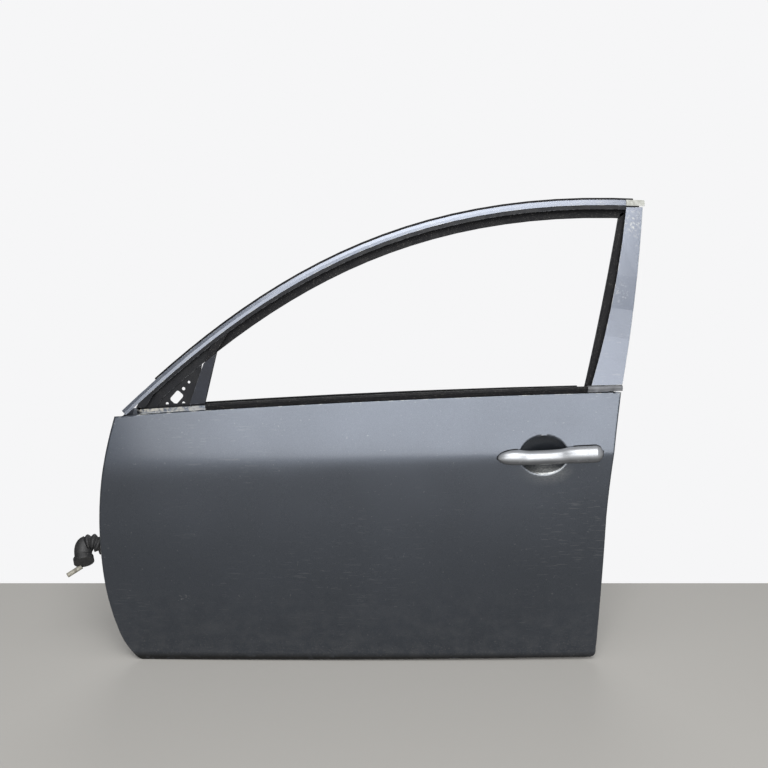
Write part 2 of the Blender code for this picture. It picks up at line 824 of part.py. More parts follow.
def build_header_frame(belt_cutter):
    back, lip = FRAME_DEPTH, FRAME_WIDTH
    line = [(0.020, FACE_LAP), (0.003, FACE_LAP), (0.003, back), (0.030, back), (lip, back - 0.012),
            (lip, RUN_DEPTH), (0.010, RUN_DEPTH)]
    frame = sweep("header_frame", frame_path(), ribbon(line, FRAME_SHEET), black_steel())
    boolean(frame, belt_cutter)
    rear_foot_x = window_rear_x(FRAME_REAR_FOOT) + 0.016
    for x, z in ((FRAME_FOOT_X + 0.008, FRAME_FOOT_BOTTOM), (rear_foot_x, FRAME_REAR_FOOT)):
        near = sash_y(x, z) + back - 0.0015
        foot = box("frame_foot", (x, near, z + 0.002), (x + 0.018, pan_y(z) - PANEL_SHEET - GAP, z + 0.022))
        boolean(frame, foot, "UNION")
    return frame


def belt_path(x_start, x_end, count, rise=0.0):
    step = (x_end - x_start) / count
    return [(x_start + step * i, belt_z(x_start + step * i) + rise) for i in range(count + 1)]


def build_belt_cutter():
    levels = (-BELT_CUT_TOP, 0.0, 0.04, 0.09, BELT_CUT_LOW)
    section = [(a, -0.04) for a in levels] + [(a, BELT_CUT_DEPTH) for a in reversed(levels)]
    return use_as_cutter(sweep("belt_cutter", belt_path(0.0, 1.16, 8), section, rubber(), belt_run_y))


def belt_side_y(x, z):
    """Depth of the side surface at the belt, whatever the height."""
    return side_y(x, belt_z(x))


def belt_run_y(x, z):
    """Level with the belt above it, and with the run of the glass below it."""
    return min(belt_side_y(x, z), sash_y(x, z))


def build_header_moulding():
    end = HEADER_CAP_START - 0.0007

    def section(share):
        width = MOULDING_WIDTH_FRONT + (MOULDING_WIDTH_REAR - MOULDING_WIDTH_FRONT) * share
        return ribbon([(width, 0.0), (width / 2, -0.0007), (0.0, 0.0), (0.0, 0.008)], 0.0011)

    path = header_knots(HEADER_START[0], end - 0.01) + [(end, header_chord(end))]
    moulding = sweep("header_moulding", path, section, paint())
    low = [(-MOULDING_CLEARANCE, -0.02), (0.04, -0.02), (0.04, 0.02), (-MOULDING_CLEARANCE, 0.02)]
    boolean(moulding, sweep("moulding_end_cutter", belt_path(-0.03, 0.12, 3), low, rubber(), belt_side_y))


def build_header_cap():
    width = MOULDING_WIDTH_REAR + 0.0005
    section = [(-0.0008, 0.0080), (-0.0012, -0.0006), (width / 2, -0.0026), (width, -0.0008), (width, 0.0011),
               (0.0012, 0.0011), (0.0012, 0.0080)]
    path = [(x, header_chord(x)) for x in (HEADER_CAP_START, HEADER_CAP_START + 0.02, HEADER_END[0])]
    return sweep("header_end_cap", path, section, pale_plastic())


def build_weatherstrip():
    section = [(0.0027, 0.009), (-0.002, 0.0095), (-0.0035, 0.0115), (-0.0035, 0.016), (-0.001, 0.020),
               (0.0027, 0.020)]
    end = HEADER_END[0] - 0.022
    path = header_knots(FRAME_JOIN_X + 0.01, end - 0.01) + [(end, header_chord(end))]
    return sweep("frame_weatherstrip", path, section, rubber())


def pillar_edge(z, bottom, middle, top):
    low, high = PILLAR_LOW, PILLAR_HIGH
    t = (z - low) / (high - low)
    arch = middle - (bottom + top) / 2
    return bottom + (top - bottom) * t + 4 * arch * t * (1 - t)


def build_pillar_cover():
    heights = [PILLAR_HIGH, *PILLAR_STEPS[:-1], PILLAR_LOW]
    path = [(pillar_edge(z, PILLAR_BOTTOM_RIGHT, PILLAR_MIDDLE_RIGHT, PILLAR_TOP_RIGHT), z) for z in heights]

    def section(share):
        z = heights[round(share * (len(heights) - 1))]
        left = pillar_edge(z, PILLAR_BOTTOM_LEFT, PILLAR_MIDDLE_LEFT, PILLAR_TOP_LEFT)
        right = pillar_edge(z, PILLAR_BOTTOM_RIGHT, PILLAR_MIDDLE_RIGHT, PILLAR_TOP_RIGHT)
        width = (right - left) * 0.98
        return ribbon([(width, 0.0), (0.0, 0.0), (0.0, 0.010)], 0.0011)

    rings = sweep_rings(path, section, sash_y)
    rings[0] = trim_ring(rings[1], rings[0], lambda x: PILLAR_HIGH)
    rings[-1] = trim_ring(rings[-2], rings[-1], lambda x: belt_z(x) + SEAL_RISE + 0.002)
    return loft("b_pillar_cover", rings, paint())


def bar_width(z):
    share = min((z - WINDOW_FRONT_BOTTOM[1]) / (WINDOW_FRONT_TOP[1] - WINDOW_FRONT_BOTTOM[1]), 1)
    if z < belt_z(WINDOW_FRONT_BOTTOM[0]) - 0.03:
        return BAR_RAIL_WIDTH
    return BAR_WIDTH_BOTTOM + (BAR_WIDTH_TOP - BAR_WIDTH_BOTTOM) * share


def frame_inner_height(x):
    """Height of the window frame's inner edge at x, from the mitred offset of its path."""
    inner = offset_path(frame_path(), FRAME_WIDTH)
    for (xa, za), (xb, zb) in zip(inner, inner[1:]):
        if xa <= x < xb and zb > za:
            return za + (zb - za) * (x - xa) / (xb - xa)
    return inner[0][1]


def build_division_bar(belt_cutter):
    top = WINDOW_FRONT_TOP[1]
    heights = [0.060, 0.120, 0.200, 0.280, 0.360, 0.400, 0.440, WINDOW_FRONT_BOTTOM[1], *BAR_STEPS, top]
    path = [(window_front_x(z), z) for z in heights]

    def section(share):
        z = heights[round(share * (len(heights) - 1))]
        width = bar_width(z)
        line = [(-0.001, FACE_LAP), (-width, FACE_LAP), (-width, RUN_DEPTH + 0.0012),
                (-0.001, RUN_DEPTH + 0.0012)]
        return ribbon(line, FRAME_SHEET)

    rings = sweep_rings(path, section, sash_y)
    rings[-1] = trim_ring(rings[-2], rings[-1], lambda x: frame_inner_height(x) - GAP)
    bar = loft("division_bar", rings, paint())
    boolean(bar, belt_cutter)
    foot_x, foot_z = path[0]
    foot_y = sash_y(foot_x, foot_z)
    bracket = box("division_bar_foot", (foot_x - 0.018, foot_y + 0.016, foot_z + 0.004),
                  (foot_x - 0.003, pan_y(foot_z) - PANEL_SHEET - GAP, foot_z + 0.022))
    boolean(bar, bracket, "UNION")
    return bar


def build_glass_run():
    lean = math.sqrt(1 + window_front_slope() ** 2)
    offset = FRAME_WIDTH * lean
    drop = FRAME_WIDTH * window_front_slope() / lean
    start = WINDOW_FRONT_BOTTOM[1] + drop
    low, high = start, 0.70
    for _ in range(40):
        z = (low + high) / 2
        if header_chord(window_front_x(z) - offset) > z:
            low = z
        else:
            high = z
    corner = (window_front_x(low) - offset, low)
    lower = [(window_front_x(z) - offset, z) for z in (start, *(step + drop for step in BAR_STEPS))]
    top = HEADER_END[1]
    header = header_knots(corner[0] + 0.02, window_rear_x(top) + FRAME_WIDTH - 0.06)
    finish = belt_z(WINDOW_REAR_BOTTOM[0]) + BELT_CUT_TOP + 0.004
    path = lower + [corner] + header + pillar_path((top, *PILLAR_STEPS[:-1], finish))

    def section(share):
        step = round(share * (len(path) - 1))
        back, lip = 0.0045, 0.0195
        if step < 4:
            width = bar_width(path[step][1] - drop)
            back, lip = FRAME_WIDTH - width + 0.0018, FRAME_WIDTH - 0.002
        line = [(lip, FACE_LAP + 0.0015), (back, FACE_LAP + 0.0015), (back, RUN_DEPTH - GAP),
                (FRAME_WIDTH - 0.001, RUN_DEPTH - GAP)]
        return ribbon(line, RUN_WALL)

    def above_belt(x):
        return belt_z(x) + SEAL_RISE + 0.0052

    rings = sweep_rings(path, section, sash_y)
    rings[0] = trim_ring(rings[1], rings[0], above_belt)
    rings[-1] = trim_ring(rings[-2], rings[-1], above_belt)
    return loft("glass_run_channel", rings, rubber())


def build_waist_seals():
    outer = [(0.0128, -0.0005), (0.004, -0.0018), (0.0005, 0.0), (0.0, 0.004), (0.0005, 0.0085), (0.003, 0.0092),
             (0.0125, 0.0092), (0.0125, 0.0076), (0.003, 0.0076), (0.003, 0.0030), (0.0128, 0.0030)]
    start, joint, end = WINDOW_FRONT_BOTTOM[0], SEAL_CAP_START, REAR_EDGE + REAR_SWEEP + 0.002
    path = belt_path(start, joint - GAP, 14, SEAL_RISE)
    sweep("outer_waist_seal", path, outer, rubber(), belt_side_y)
    cap = [(0.0110, -0.0015), (0.004, -0.0030), (-0.0003, -0.0010), (-0.0008, 0.004), (-0.0005, 0.0088),
           (0.0108, 0.0092), (0.0108, 0.0076), (0.0022, 0.0076), (0.0022, 0.0030), (0.0110, 0.0030)]
    sweep("waist_seal_end_cap", belt_path(joint, end, 3, SEAL_RISE), cap, black_plastic(), belt_side_y)
    edge = PAN_DEPTH - WAIST_STEP - WAIST_LIP
    inner = [(0.004, -0.0003), (0.004, -0.006), (-0.004, -0.0075), (-0.0055, -0.006), (-0.0035, 0.003),
             (-0.0017, 0.003), (-0.0017, -0.0003)]
    path = belt_path(0.110, 1.030, 12, WAIST_LIP_RISE)
    sweep("inner_waist_seal", path, inner, rubber(), lambda x, z: edge)


def build_waist_reinforcement():
    back = LEDGE_DEPTH + SKIN_SHEET + GAP + FRAME_SHEET
    line = [(-0.0085, back), (0.003, back), (0.010, 0.0135), (0.034, 0.0135), (0.040, 0.007), (0.050, 0.007)]
    path = belt_path(0.060, 1.065, 12, 0.001)
    sweep("outer_waist_reinforcement", path, ribbon(line, FRAME_SHEET), zinc_steel(), belt_run_y)


def build_mirror_bracket():
    """The black sail plate under the header, with the mirror's bolt holes."""
    edge = offset_path(frame_path(), FRAME_WIDTH + SAIL_CLEARANCE)
    bar_x = window_front_x(0.52) - bar_width(0.52)
    upper = [p for p in edge[1:] if p[0] < bar_x + 0.012]
    low = belt_z(0.15) - SAIL_TUCK
    left = (FRAME_FOOT_X + FRAME_WIDTH + SAIL_CLEARANCE, low)
    right = (window_front_x(low) - BAR_RAIL_WIDTH - 0.002, low)
    outline = [left] + upper + [right]
    lean = side_y(0.14, 0.55) - side_y(0.14, 0.45)
    origin = Vector((0.14, side_y(0.14, 0.49) + SAIL_DEPTH, 0.49))
    plane = facing(origin, (1, (bow(0.18) - bow(0.10)) / 0.08, 0), (0, lean, 0.10))
    stretch = math.sqrt(1 + (lean / 0.10) ** 2)
    holes = [rounded(SAIL_WINDOW, 0.0125, 0.0085, 0.004, 48)]
    holes += [arc(centre, radius, 0, 345, 23)[::2] for centre, radius in SAIL_HOLES]
    shapes = [[(x - origin.x, (z - origin.z) * stretch) for x, z in shape] for shape in [outline] + holes]
    return flat("mirror_bracket", shapes, FRAME_SHEET, black_steel(), plane)


def cross_plane(x, y, z):
    """A plane square to X: its first axis is Y and its second is Z."""
    return facing((x, y, z), (0, 1, 0), (0, 0, 1))


def trim_plane(y):
    return facing((0, y, 0), (1, 0, 0), (0, 0, 1))


def hinge_bolts(height):
    return [(HINGE_CENTRE_Y, height - HINGE_BOLT_PITCH / 2), (HINGE_CENTRE_Y, height + HINGE_BOLT_PITCH / 2)]


def circle(centre, radius, sides=16):
    return arc(centre, radius, 0, 360 - 360 / sides, sides - 1)


def build_hinge_plates():
    for name, height in (("hinge_reinforcement_lower", LOWER_HINGE_HEIGHT),
                         ("hinge_reinforcement_upper", UPPER_HINGE_HEIGHT)):
        outline = rounded((HINGE_CENTRE_Y, height), HINGE_PLATE_HALF, 0.038, 0.006)
        holes = [circle(bolt, HINGE_BOLT_HOLE) for bolt in hinge_bolts(height)]
        x = PANEL_SHEET + GAP + HINGE_PLATE / 2
        flat(name, [outline] + holes, HINGE_PLATE, zinc_steel(), cross_plane(x, 0, 0))


def cut_inner_panel(panel):
    """Pierces the hinge wall, the latch wall and the trim face."""
    bolts = hinge_bolts(LOWER_HINGE_HEIGHT) + hinge_bolts(UPPER_HINGE_HEIGHT)
    front = [circle(bolt, HINGE_BOLT_HOLE) for bolt in bolts]
    front += [circle((BOOT_Y, BOOT_Z), BOOT_HOLE, 20), rounded((HINGE_CENTRE_Y, CHECK_HEIGHT), 0.008, 0.014, 0.003)]
    boolean(panel, flat("hinge_wall_cutter", front, 0.012, rubber(), cross_plane(0, 0, 0)))
    wall = REAR_EDGE - REAR_SETBACK
    rear = [circle(place, SCREW_RADIUS + GAP) for place in latch_screws()]
    boolean(panel, flat("latch_wall_cutter", rear, 0.012, rubber(), cross_plane(wall, 0, 0)))
    mouth = box("mouth_cutter", (wall - 0.024, LATCH_MOUTH_DEPTH, LATCH_Z - LATCH_MOUTH - 0.002),
                (wall + 0.006, PAN_DEPTH + 0.010, LATCH_Z + LATCH_MOUTH + 0.002))
    boolean(panel, mouth)
    boolean(panel, flat("trim_face_cutter", trim_openings(), 0.030, rubber(), trim_plane(PAN_DEPTH - 0.004)))


def trim_openings():
    front_access = [(0.105, 0.215), (0.345, 0.255), (0.345, 0.060), (0.300, 0.048), (0.105, 0.090)]
    openings = [round_corners(front_access, 0.020)]
    openings.append(circle((0.205, -0.045), SPEAKER_RADIUS, 32))
    openings.append(round_corners([(0.410, 0.262), (0.735, 0.280), (0.735, 0.060), (0.410, 0.020)], 0.024))
    openings.append(rounded((0.880, 0.170), 0.055, 0.075, 0.018))
    openings.append(rounded((0.900, 0.330), 0.040, 0.020, 0.008))
    openings.append(rounded((0.180, 0.365), 0.045, 0.018, 0.008))
    openings.append(rounded((1.015, 0.155), 0.028, 0.060, 0.012))
    for x, z in CLIP_HOLES:
        openings.append(circle((x, z), CLIP_HOLE, 8))
    return openings


def round_corners(corners, radius, steps=3):
    """A polygon's corners turned into arcs, by quadratic blends of the given reach."""
    points = []
    for i, corner in enumerate(corners):
        here = Vector(corner)
        start = here + (Vector(corners[i - 1]) - here).normalized() * radius
        end = here + (Vector(corners[(i + 1) % len(corners)]) - here).normalized() * radius
        for k in range(steps + 1):
            t = k / steps
            points.append(tuple(start * (1 - t) ** 2 + here * 2 * t * (1 - t) + end * t * t))
    return points


def build_beam():
    start = Vector((0.016, BEAM_Y, BEAM_FRONT_HEIGHT))
    end = Vector((REAR_EDGE - REAR_SETBACK - 0.016, BEAM_Y, BEAM_REAR_HEIGHT))
    along = (end - start).normalized()
    beam = drum("impact_beam", start, end, BEAM_RADIUS, zinc_steel(), 16)
    bore = drum("beam_bore_cutter", start - along * 0.01, end + along * 0.01, BEAM_RADIUS - BEAM_WALL, sides=16)
    boolean(beam, bore)
    base_front = PANEL_SHEET + HINGE_PLATE + 2 * GAP
    back = BEAM_Y + BEAM_RADIUS + GAP
    tongue = 0.060
    bracket = box("beam_bracket_front", (base_front, HINGE_CENTRE_Y - HINGE_PLATE_HALF, BEAM_FRONT_HEIGHT - 0.028),
                  (base_front + 0.002, HINGE_CENTRE_Y + HINGE_PLATE_HALF, BEAM_FRONT_HEIGHT + 0.028), zinc_steel())
    blade = box("beam_tongue_front", (base_front + 0.001, back, BEAM_FRONT_HEIGHT - 0.020),
                (base_front + tongue, back + 0.002, BEAM_FRONT_HEIGHT + 0.016))
    boolean(bracket, blade, "UNION")
    for y, z in hinge_bolts(LOWER_HINGE_HEIGHT):
        boolean(bracket, drum("beam_bolt_cutter", (-0.01, y, z), (0.02, y, z), HINGE_BOLT_HOLE, sides=12))
    wall = REAR_EDGE - REAR_SETBACK - PANEL_SHEET - GAP
    rear = box("beam_bracket_rear", (wall - 0.002, HINGE_CENTRE_Y - HINGE_PLATE_HALF, BEAM_REAR_HEIGHT - 0.028),
               (wall, HINGE_CENTRE_Y + HINGE_PLATE_HALF, BEAM_REAR_HEIGHT + 0.028), zinc_steel())
    blade = box("beam_tongue_rear", (wall - tongue, back, BEAM_REAR_HEIGHT - 0.018),
                (wall - 0.001, back + 0.002, BEAM_REAR_HEIGHT + 0.018))
    boolean(rear, blade, "UNION")


def build_rear_rail():
    top = FRAME_REAR_FOOT - GAP
    heights = [RAIL_BOTTOM + (top - RAIL_BOTTOM) * i / 6 for i in range(7)]
    path = [(window_rear_x(z) + BAR_RAIL_WIDTH, z) for z in reversed(heights)]
    near, far = BELT_CUT_DEPTH, BELT_CUT_DEPTH + 0.0135
    line = [(0.017, near), (0.0, near), (0.0, far), (0.017, far)]
    rail = sweep("rear_guide_rail", path, ribbon(line, FRAME_SHEET), zinc_steel())
    x, z = path[-1]
    y = sash_y(x, z)
    foot = box("rear_rail_foot", (x - 0.014, y + far - 0.0008, z + 0.004),
               (x - 0.002, pan_y(z) - PANEL_SHEET - GAP, z + 0.024))
    boolean(rail, foot, "UNION")


def grip_height(x):
    return GRIP_FRONT_HEIGHT + (GRIP_REAR_HEIGHT - GRIP_FRONT_HEIGHT) * (x - GRIP_FRONT) / GRIP_LENGTH


def blend(x, start, end):
    t = min(max((x - start) / (end - start), 0), 1)
    return t * t * (3 - 2 * t)


def grip_half(x):
    """Half of the handle's height at x: pointed in front, round behind."""
    waist = GRIP_HALF_FRONT + (GRIP_HALF_MIDDLE - GRIP_HALF_FRONT) * blend(x, *(GRIP_FRONT + d for d in GRIP_SLIMS))
    waist += (GRIP_HALF_REAR - GRIP_HALF_MIDDLE) * blend(x, *(GRIP_REAR - d for d in GRIP_SWELLS))
    tip = min(max((x - GRIP_FRONT) / GRIP_TIP, 0), 1)
    end = min(max((GRIP_REAR - x) / GRIP_END, 0), 1)
    return waist * math.sqrt(1 - (1 - tip) ** 2) * math.sqrt(1 - (1 - end) ** 2)


def seat_y(x):
    """The straight seating line on which the handle's ends and gaskets meet."""
    front = skin_y(GRIP_FRONT, GRIP_FRONT_HEIGHT - 0.010)
    rear = skin_y(GRIP_REAR, GRIP_REAR_HEIGHT - 0.014)
    t = (x - GRIP_FRONT) / GRIP_LENGTH
    return front + (rear - front) * t - GASKET - 2 * GAP


def grip_back(x):
    rise = blend(x, *(GRIP_FRONT + d for d in LIFT_STARTS))
    fall = blend(x, *(GRIP_SEAM - d for d in LIFT_ENDS))
    return seat_y(x) - GRIP_LIFT * rise * (1 - fall)


def grip_thickness(x):
    tip = min(max((x - GRIP_FRONT) / (1.6 * GRIP_TIP), 0), 1)
    end = min(max((GRIP_REAR - x) / GRIP_END, 0), 1)
    return GRIP_THICKNESS * math.sqrt(1 - (1 - tip) ** 2) * math.sqrt(1 - (1 - end) ** 2) + 0.001


def grip_rings(places):
    rings = []
    for x in places:
        ring = []
        for i in range(13):
            turn = math.pi * i / 12
            across = math.cos(turn)
            out = math.sin(turn) ** 0.8 if 0 < i < 12 else 0.0
            z = grip_height(x) + grip_half(x) * across
            ring.append(Vector((x, grip_back(x) - grip_thickness(x) * out, z)))
        rings.append(ring)
    return rings


def pull_travel():
    """How far the pin on the grip's arm moves when the grip is pulled."""
    return (CRANK_X - GRIP_FRONT) * math.sin(math.radians(PULL_ANGLE))


def crank_reach():
    """Height of the crank's pivot over the arm's pin, for a swing even about the vertical."""
    return pull_travel() / (2 * math.tan(math.radians(CRANK_START)))


def arm_pin():
    start = math.radians(CRANK_START)
    y = CRANK_PIVOT_Y + crank_reach() * math.tan(start)
    return y + (CRANK_LEVER_HALF + ARM_PIN + ARM_CLEARANCE) / math.cos(start), grip_height(CRANK_X)


def crank_pivot_z():
    return grip_height(CRANK_X) + crank_reach()


def build_handle():
    places = [GRIP_FRONT + d for d in (0.0004, 0.003, 0.008, 0.016, 0.028, 0.040, 0.051, 0.059, 0.067, 0.086, 0.111)]
    places += [GRIP_SEAM - d for d in (0.059, 0.049, 0.039, 0.019, GAP / 2)]
    grip = loft("handle_grip", grip_rings(places), silver_plastic())
    x = GRIP_FRONT + 0.022
    y = grip_back(x) - 0.002
    boolean(grip, box("grip_hook", (x, y, HOOK_LOW), (x + 0.0055, HOOK_BACK, HOOK_HIGH)), "UNION")
    lip = box("grip_hook_lip", (x - 0.0065, HOOK_BACK - HOOK_LIP, HOOK_LOW), (x + 0.004, HOOK_BACK, HOOK_HIGH))
    boolean(grip, lip, "UNION")
    pin_y, pin_z = arm_pin()
    x = GRIP_SEAM - 0.0085
    arm = box("grip_arm", (x, grip_back(x) - 0.002, pin_z - 0.0065), (x + 0.006, pin_y + ARM_PIN, pin_z + 0.0065))
    boolean(grip, arm, "UNION")
    end = CRANK_X + CRANK_WIDTH / 2 + 0.0015
    peg = drum("grip_arm_pin", (x + 0.004, pin_y, pin_z), (end, pin_y, pin_z), ARM_PIN, sides=12)
    boolean(grip, peg, "UNION")
    set_origin(grip, (GRIP_FRONT, seat_y(GRIP_FRONT), GRIP_FRONT_HEIGHT))
    cap_places = [GRIP_SEAM + GAP / 2] + [GRIP_REAR - d for d in (0.0245, 0.0155, 0.010, 0.0055, 0.002, 0.0003)]
    cap = loft("handle_end_cap", grip_rings(cap_places), silver_plastic())
    x, z = CARRIER_REAR + GAP, grip_height(CARRIER_REAR)
    stub = box("cap_stub", (x, grip_back(x) - 0.002, z - 0.0045), (x + 0.006, HOOK_BACK + 0.0005, z + 0.0045))
    boolean(cap, stub, "UNION")


def set_origin(item, place):
    """Moves an object's origin onto its joint's axis and leaves its form where it is."""
    item.data.transform(Matrix.Translation(-Vector(place)))
    item.location = place


def gasket_ring(name, start, end, count, blunt_at_start):
    """A rim seal that follows the handle's outline on one side and the skin on the other."""
    lengths = [start + (end - start) * (1 - math.cos(math.pi * i / count)) / 2 for i in range(count + 1)]
    upper, lower = [(x, 1) for x in lengths], [(x, -1) for x in reversed(lengths)]
    across = (0.66, 0.33, 0.0, -0.33, -0.66)
    if blunt_at_start:
        outline = upper + lower + [(start, -side) for side in across]
    else:
        outline = upper + [(end, side) for side in across] + lower
    rings = []
    for x, side in outline:
        half = max(grip_half(min(max(x, GRIP_FRONT + 0.0006), GRIP_REAR - 0.0006)), 0.002) + GASKET_RIM
        inner_half = max(half - GASKET_WIDTH, 0.0004)
        inner_x = min(max(x, start + GASKET_WIDTH), end - GASKET_WIDTH)
        ring = []
        for px, pz in ((x, grip_height(x) + side * half), (inner_x, grip_height(inner_x) + side * inner_half)):
            ring.append((Vector((px, seat_y(px) + GAP, pz)), Vector((px, skin_y(px, pz) - FACET_GAP, pz))))
        (a_out, a_in), (b_out, b_in) = ring
        rings.append([a_out, b_out, b_in, a_in])
    return loft(name, rings, rubber(), closed=True)


def build_gaskets():
    gasket_ring("handle_gasket_front", GRIP_FRONT - GASKET_RIM - GAP, GRIP_FRONT + GASKET_FRONT_LENGTH, 8, False)
    gasket_ring("handle_gasket_rear", GRIP_SEAM - GASKET_REAR_REACH, GRIP_REAR + GASKET_RIM + GAP, 9, True)


def carrier_rib(name, x, width, low, high):
    """An upright rib whose front edge follows the inside of the skin."""
    heights = [low + (high - low) * i / 6 for i in range(7)]
    sides = (x - width / 2, x + width / 2)
    front = [(max(skin_y(side, z) for side in sides) + SKIN_SHEET + FACET_GAP, z) for z in heights]
    outline = front + [(CARRIER_BACK, high), (CARRIER_BACK, low)]
    return flat(name, [outline], width, black_plastic(), cross_plane(x, 0, 0))


def build_carrier():
    spine = box("handle_carrier", (GRIP_FRONT + 0.007, CARRIER_BACK - 0.0024, CARRIER_LOW),
                (CARRIER_REAR - 0.001, CARRIER_BACK, CARRIER_LOW + CARRIER_WIDTH), black_plastic())
    ribs = ((GRIP_FRONT + 0.009, 0.004, 0.026), (GRIP_FRONT + 0.040, 0.004, 0.026),
            (GRIP_SEAM - 0.015, 0.003, 0.056), (CARRIER_REAR - 0.002, 0.004, 0.062))
    for i, (x, width, height) in enumerate(ribs):
        rib = carrier_rib("carrier_rib_%d" % (i + 1), x, width, CARRIER_LOW, CARRIER_LOW + height)
        boolean(spine, rib, "UNION")
    pivot = (CRANK_PIVOT_Y, crank_pivot_z())
    start, end = CRANK_X - CRANK_WIDTH / 2 - 0.001, CARRIER_REAR - 0.002
    boolean(spine, drum("crank_pin", (start, *pivot), (end, *pivot), CRANK_PIN, sides=14), "UNION")


def ray(angle, length):
    a = math.radians(angle)
    return Vector((math.cos(a) * length, math.sin(a) * length))


def rocker(name, x, pivot, lever, arm, look):
    """A two-armed lever in a plane square to X; each arm is (angle, length, half width)."""
    a_angle, a_length, a_half = lever
    b_angle, b_length, b_half = arm
    outline = arc(ray(a_angle, a_length), a_half, a_angle - 90, a_angle + 90, 5)
    outline.append(tuple(ray(b_angle, a_half) + ray(a_angle, b_half)))
    outline += arc(ray(b_angle, b_length), b_half, b_angle - 90, b_angle + 90, 5)
    outline += arc((0, 0), ROCKER_HUB, b_angle + 100, a_angle + 260, 6)
    slot_middle = (ROD_OFFSET + ROD_OFFSET / math.cos(math.radians(CRANK_START))) / 2
    slot_half = slot_middle - ROD_OFFSET + ROD_RADIUS + ROD_CLEARANCE
    slot_wide = ROD_RADIUS + ROD_CLEARANCE
    slot = rounded(ray(b_angle, slot_middle), slot_half, slot_wide, slot_wide * 0.98, b_angle)
    bore = circle((0, 0), CRANK_PIN + GAP, 14)
    made = flat(name, [outline, bore, slot], CRANK_WIDTH, look, cross_plane(x, *pivot))
    set_origin(made, (x, *pivot))


def build_linkage():
    pivot = (CRANK_PIVOT_Y, crank_pivot_z())
    rocker("bell_crank", CRANK_X, pivot, (CRANK_START - 90, CRANK_LEVER, CRANK_LEVER_HALF),
           (CRANK_START, ROD_OFFSET + 0.0012, 0.0042), black_plastic())
    rod_y = CRANK_PIVOT_Y + ROD_OFFSET
    rise = ROD_OFFSET * math.tan(math.radians(CRANK_START))
    high, low = crank_pivot_z() + rise, LATCH_LEVER_Z + rise
    side = CRANK_X + CRANK_WIDTH / 2 + 0.004
    hook = CRANK_X - CRANK_WIDTH / 2 - 0.001
    route = [(hook, rod_y, high), (side, rod_y, high), (side, rod_y, low), (hook, rod_y, low)]
    tube("release_rod", bend(route, 0.0022), ROD_RADIUS, zinc_steel())
    lever_y = rod_y + ROD_OFFSET
    outline = latch_lever_outline()
    place = (CRANK_X, lever_y, LATCH_LEVER_Z)
    set_origin(flat("latch_lever", outline, CRANK_WIDTH, zinc_steel(), cross_plane(*place)), place)


def bend(route, radius, steps=4):
    """A route's inner corners rounded by short blends."""
    points = [Vector(route[0])]
    for before, here, after in zip(route, route[1:], route[2:]):
        here = Vector(here)
        start = here + (Vector(before) - here).normalized() * radius
        end = here + (Vector(after) - here).normalized() * radius
        for k in range(steps + 1):
            t = k / steps
            points.append(start * (1 - t) ** 2 + here * 2 * t * (1 - t) + end * t * t)
    return points + [Vector(route[-1])]


def latch_lever_outline():
    angle = 180 - CRANK_START
    tail = angle + 150
    outline = arc(ray(angle, ROD_OFFSET + 0.0012), 0.0042, angle - 90, angle + 90, 5)
    outline += arc((0, 0), ROCKER_HUB, angle + 105, tail - 70, 2)
    outline += arc(ray(tail, 0.013), 0.003, tail - 90, tail + 90, 4)
    outline += arc((0, 0), ROCKER_HUB, tail + 60, angle + 250, 4)
    slot_middle = (ROD_OFFSET + ROD_OFFSET / math.cos(math.radians(CRANK_START))) / 2
    slot_half = slot_middle - ROD_OFFSET + ROD_RADIUS + ROD_CLEARANCE
    slot_wide = ROD_RADIUS + ROD_CLEARANCE
    slot = rounded(ray(angle, slot_middle), slot_half, slot_wide, slot_wide * 0.98, angle)
    return [outline, circle((0, 0), CRANK_PIN + GAP, 14), slot]


def latch_screws():
    reach = LATCH_HEIGHT / 2 - 0.010
    return [(-0.026, LATCH_Z + reach), (-0.026, LATCH_Z - reach), (0.022, LATCH_Z - reach)]


